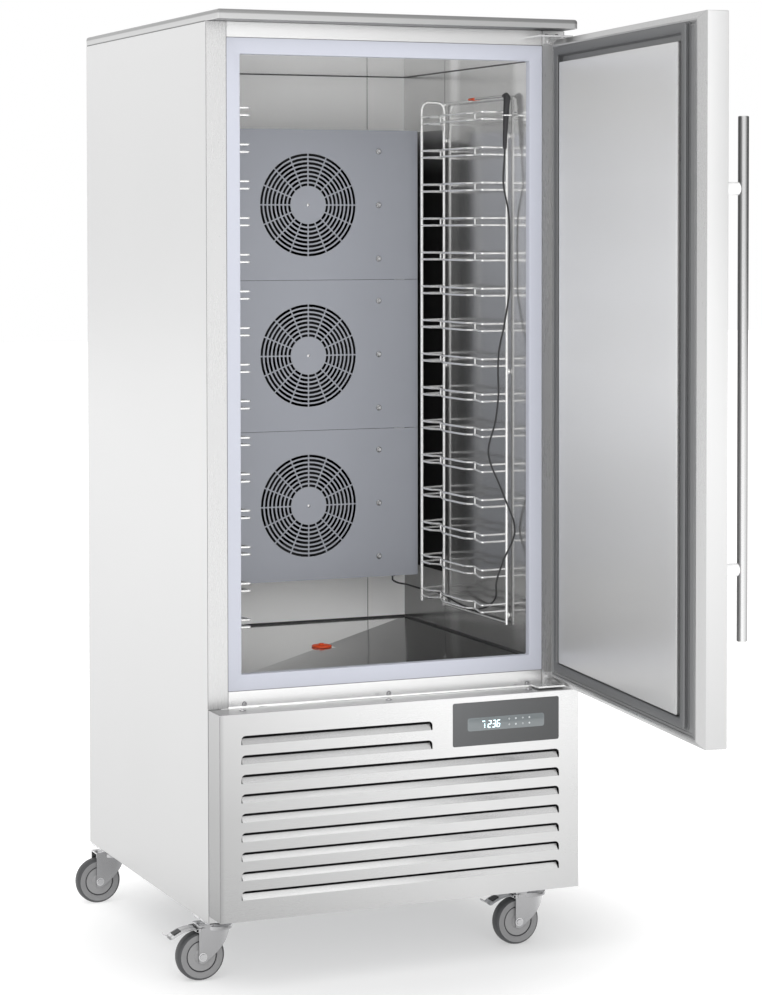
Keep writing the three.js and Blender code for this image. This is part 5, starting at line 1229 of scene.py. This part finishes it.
def brake(place, px, y):
    """The pedal: an arched sheet over the wheel with two cheeks on the pin and a turned-up end."""
    pz = PIN_Z
    arch = spline([(-8, 0.5), (-22, 1.5), (-40, -1.5), (-56, -8.5), (-64, -13), (-69, -12), (-74, -7)], 4)
    arch = [Vector((a, 0, b)) for a, b in arch]
    rings = []
    for i, p in enumerate(arch):
        ahead = arch[min(i + 1, len(arch) - 1)] - arch[max(i - 1, 0)]
        normal = Vector((-ahead.z, 0, ahead.x)).normalized()
        if normal.z < 0:
            normal = -normal
        width = 20 - 3.0 * (i / len(arch)) ** 2
        section = [(-width, -1.2), (-width + 1.6, 1.0), (0, 1.8), (width - 1.6, 1.0), (width, -1.2)]
        section += [(width - 2, -1.2), (0, -0.2), (-width + 2, -1.2)]
        rings.append([p + normal * up + Vector((px, y + across, pz)) for across, up in section])
    inside = LEG_OUTSIDE + 0.3
    outside = inside + 2
    cheek = [(-16, -1.8), (-12, -3.6), (4, -4), (7, -1), (6, 3), (2, 4.6), (-16, 2.6)]
    cheek = [(px + a, pz + b) for a, b in cheek]
    sides = ((y - outside, y - inside), (y + inside, y + outside))
    cheeks = [prism(cheek, "y", low, high) for low, high in sides]
    bridge = block(px - 15, px - 9, y - outside, y + outside, pz - 2.6, pz + 2.0)
    pin = [(0, -24), (4.6, -24), (4.6, -22.6), (3, -22.4), (3, 22.4), (4.6, 22.6), (4.6, 24), (0, 24)]
    grip = [(px - 43, pz - 0.6), (px - 58, pz - 7.4), (px - 58.6, pz - 6.2), (px - 43, pz + 0.6)]
    grip = (*prism(grip, "y", y - 10, y + 10), 1)
    parts = [stack(rings), bridge, lathe(pin, (px, y, pz), "y", 16), *cheeks, grip]
    piece(
        "brake_lever_" + place, parts, zinc, "pedal_" + place, "zinc", bevel=0.3, sharp=40,
        stands_for=["brake_pedal_" + place], looks=[zinc, black_plastic],
    )


for place, (x, y, braked) in CASTERS.items():
    caster(place, x, y, braked)

# ---------- floor, light ----------

FLOOR_REACH = 30
corners = [(a * FLOOR_REACH, b * FLOOR_REACH, 0) for a, b in ((-1, -1), (1, -1), (1, 1), (-1, 1))]
floor_mesh = bpy.data.meshes.new("floor")
floor_mesh.from_pydata(corners, [], [(0, 1, 2, 3)])
floor = bpy.data.objects.new("floor", floor_mesh)
bpy.context.scene.collection.objects.link(floor)
plain = {
    "Base Color": (0.5, 0.5, 0.5, 1),
    "Roughness": 0.8,
    "Specular IOR Level": 0.1,
    "Emission Color": (1, 1, 1, 1),
}
floor_look, tree, shader = surface("pale_floor", plain)
# Painted shadow: the floor's glow is dimmer under the cabinet, out to the distances in metres.
spot = add(tree, "TexCoord")
ends = {0: spot.outputs["Object"], 1: metres(MIDDLE, 250, 0)}
offset = add(tree, "VectorMath", ends, operation="DISTANCE")
span = {"From Min": 0.35, "From Max": 0.95, "To Min": 0.40, "To Max": 0.85}
floor_glow_painted_shadow = add(tree, "MapRange", {"Value": offset.outputs["Value"], **span}, interpolation_type="SMOOTHSTEP")
feed(tree, shader.inputs["Emission Strength"], floor_glow_painted_shadow.outputs["Result"])
floor.data.materials.append(floor_look)
floor.visible_shadow = False

world = bpy.data.worlds.new("studio")
bpy.context.scene.world = world
world.use_nodes = True
studio = world.node_tree
studio.nodes.clear()
parts = add(studio, "SeparateXYZ", {"Vector": add(studio, "TexCoord").outputs["Generated"]})


def falling(axis, start, end, low):
    """1 up to start along a direction's axis, falling smoothly to low at end."""
    span = {"From Min": start, "From Max": end, "To Min": 1.0, "To Max": low}
    ramp = add(studio, "MapRange", {"Value": parts.outputs[axis], **span}, interpolation_type="SMOOTHSTEP")
    return ramp.outputs["Result"]


def white(strength):
    return add(studio, "Background", {"Color": (1, 1, 1, 1), "Strength": strength}).outputs[0]


def chosen(test, yes, no):
    return add(studio, "MixShader", {"Fac": test, 1: no, 2: yes}).outputs[0]


# The studio is white, darker on the right and below.
mirrored = white(maths(studio, falling("X", 0.0, 1.0, 0.18), falling("Z", 0.15, -0.35, 0.7), "MULTIPLY"))
ambient = white(maths(studio, 0.64, falling("X", 0.0, 1.0, 0.55), "MULTIPLY"))
rays = add(studio, "LightPath").outputs
glossy = maths(studio, rays["Is Glossy Ray"], rays["Is Transmission Ray"], "MAXIMUM")
light = chosen(rays["Is Camera Ray"], white(1.0), chosen(glossy, mirrored, ambient))
add(studio, "OutputWorld", {"Surface": light})


def sun(name, strength, spread, towards):
    """A lamp without a mirror image. spread is in degrees."""
    lamp = bpy.data.lights.new(name, "SUN")
    lamp.energy = strength
    lamp.angle = math.radians(spread)
    thing = bpy.data.objects.new(name, lamp)
    thing.rotation_euler = Vector(towards).to_track_quat("-Z", "Y").to_euler()
    thing.visible_glossy = False
    bpy.context.scene.collection.objects.link(thing)


sun("key", 1.1, 50, (0.5, 0.55, -1.0))
sun("fill", 2.25, 60, (0.22, 1.0, -0.12))
sun("bounce", 0.9, 60, (0.15, 0.8, 0.55))

scene = bpy.context.scene
scene.view_settings.view_transform = "Standard"
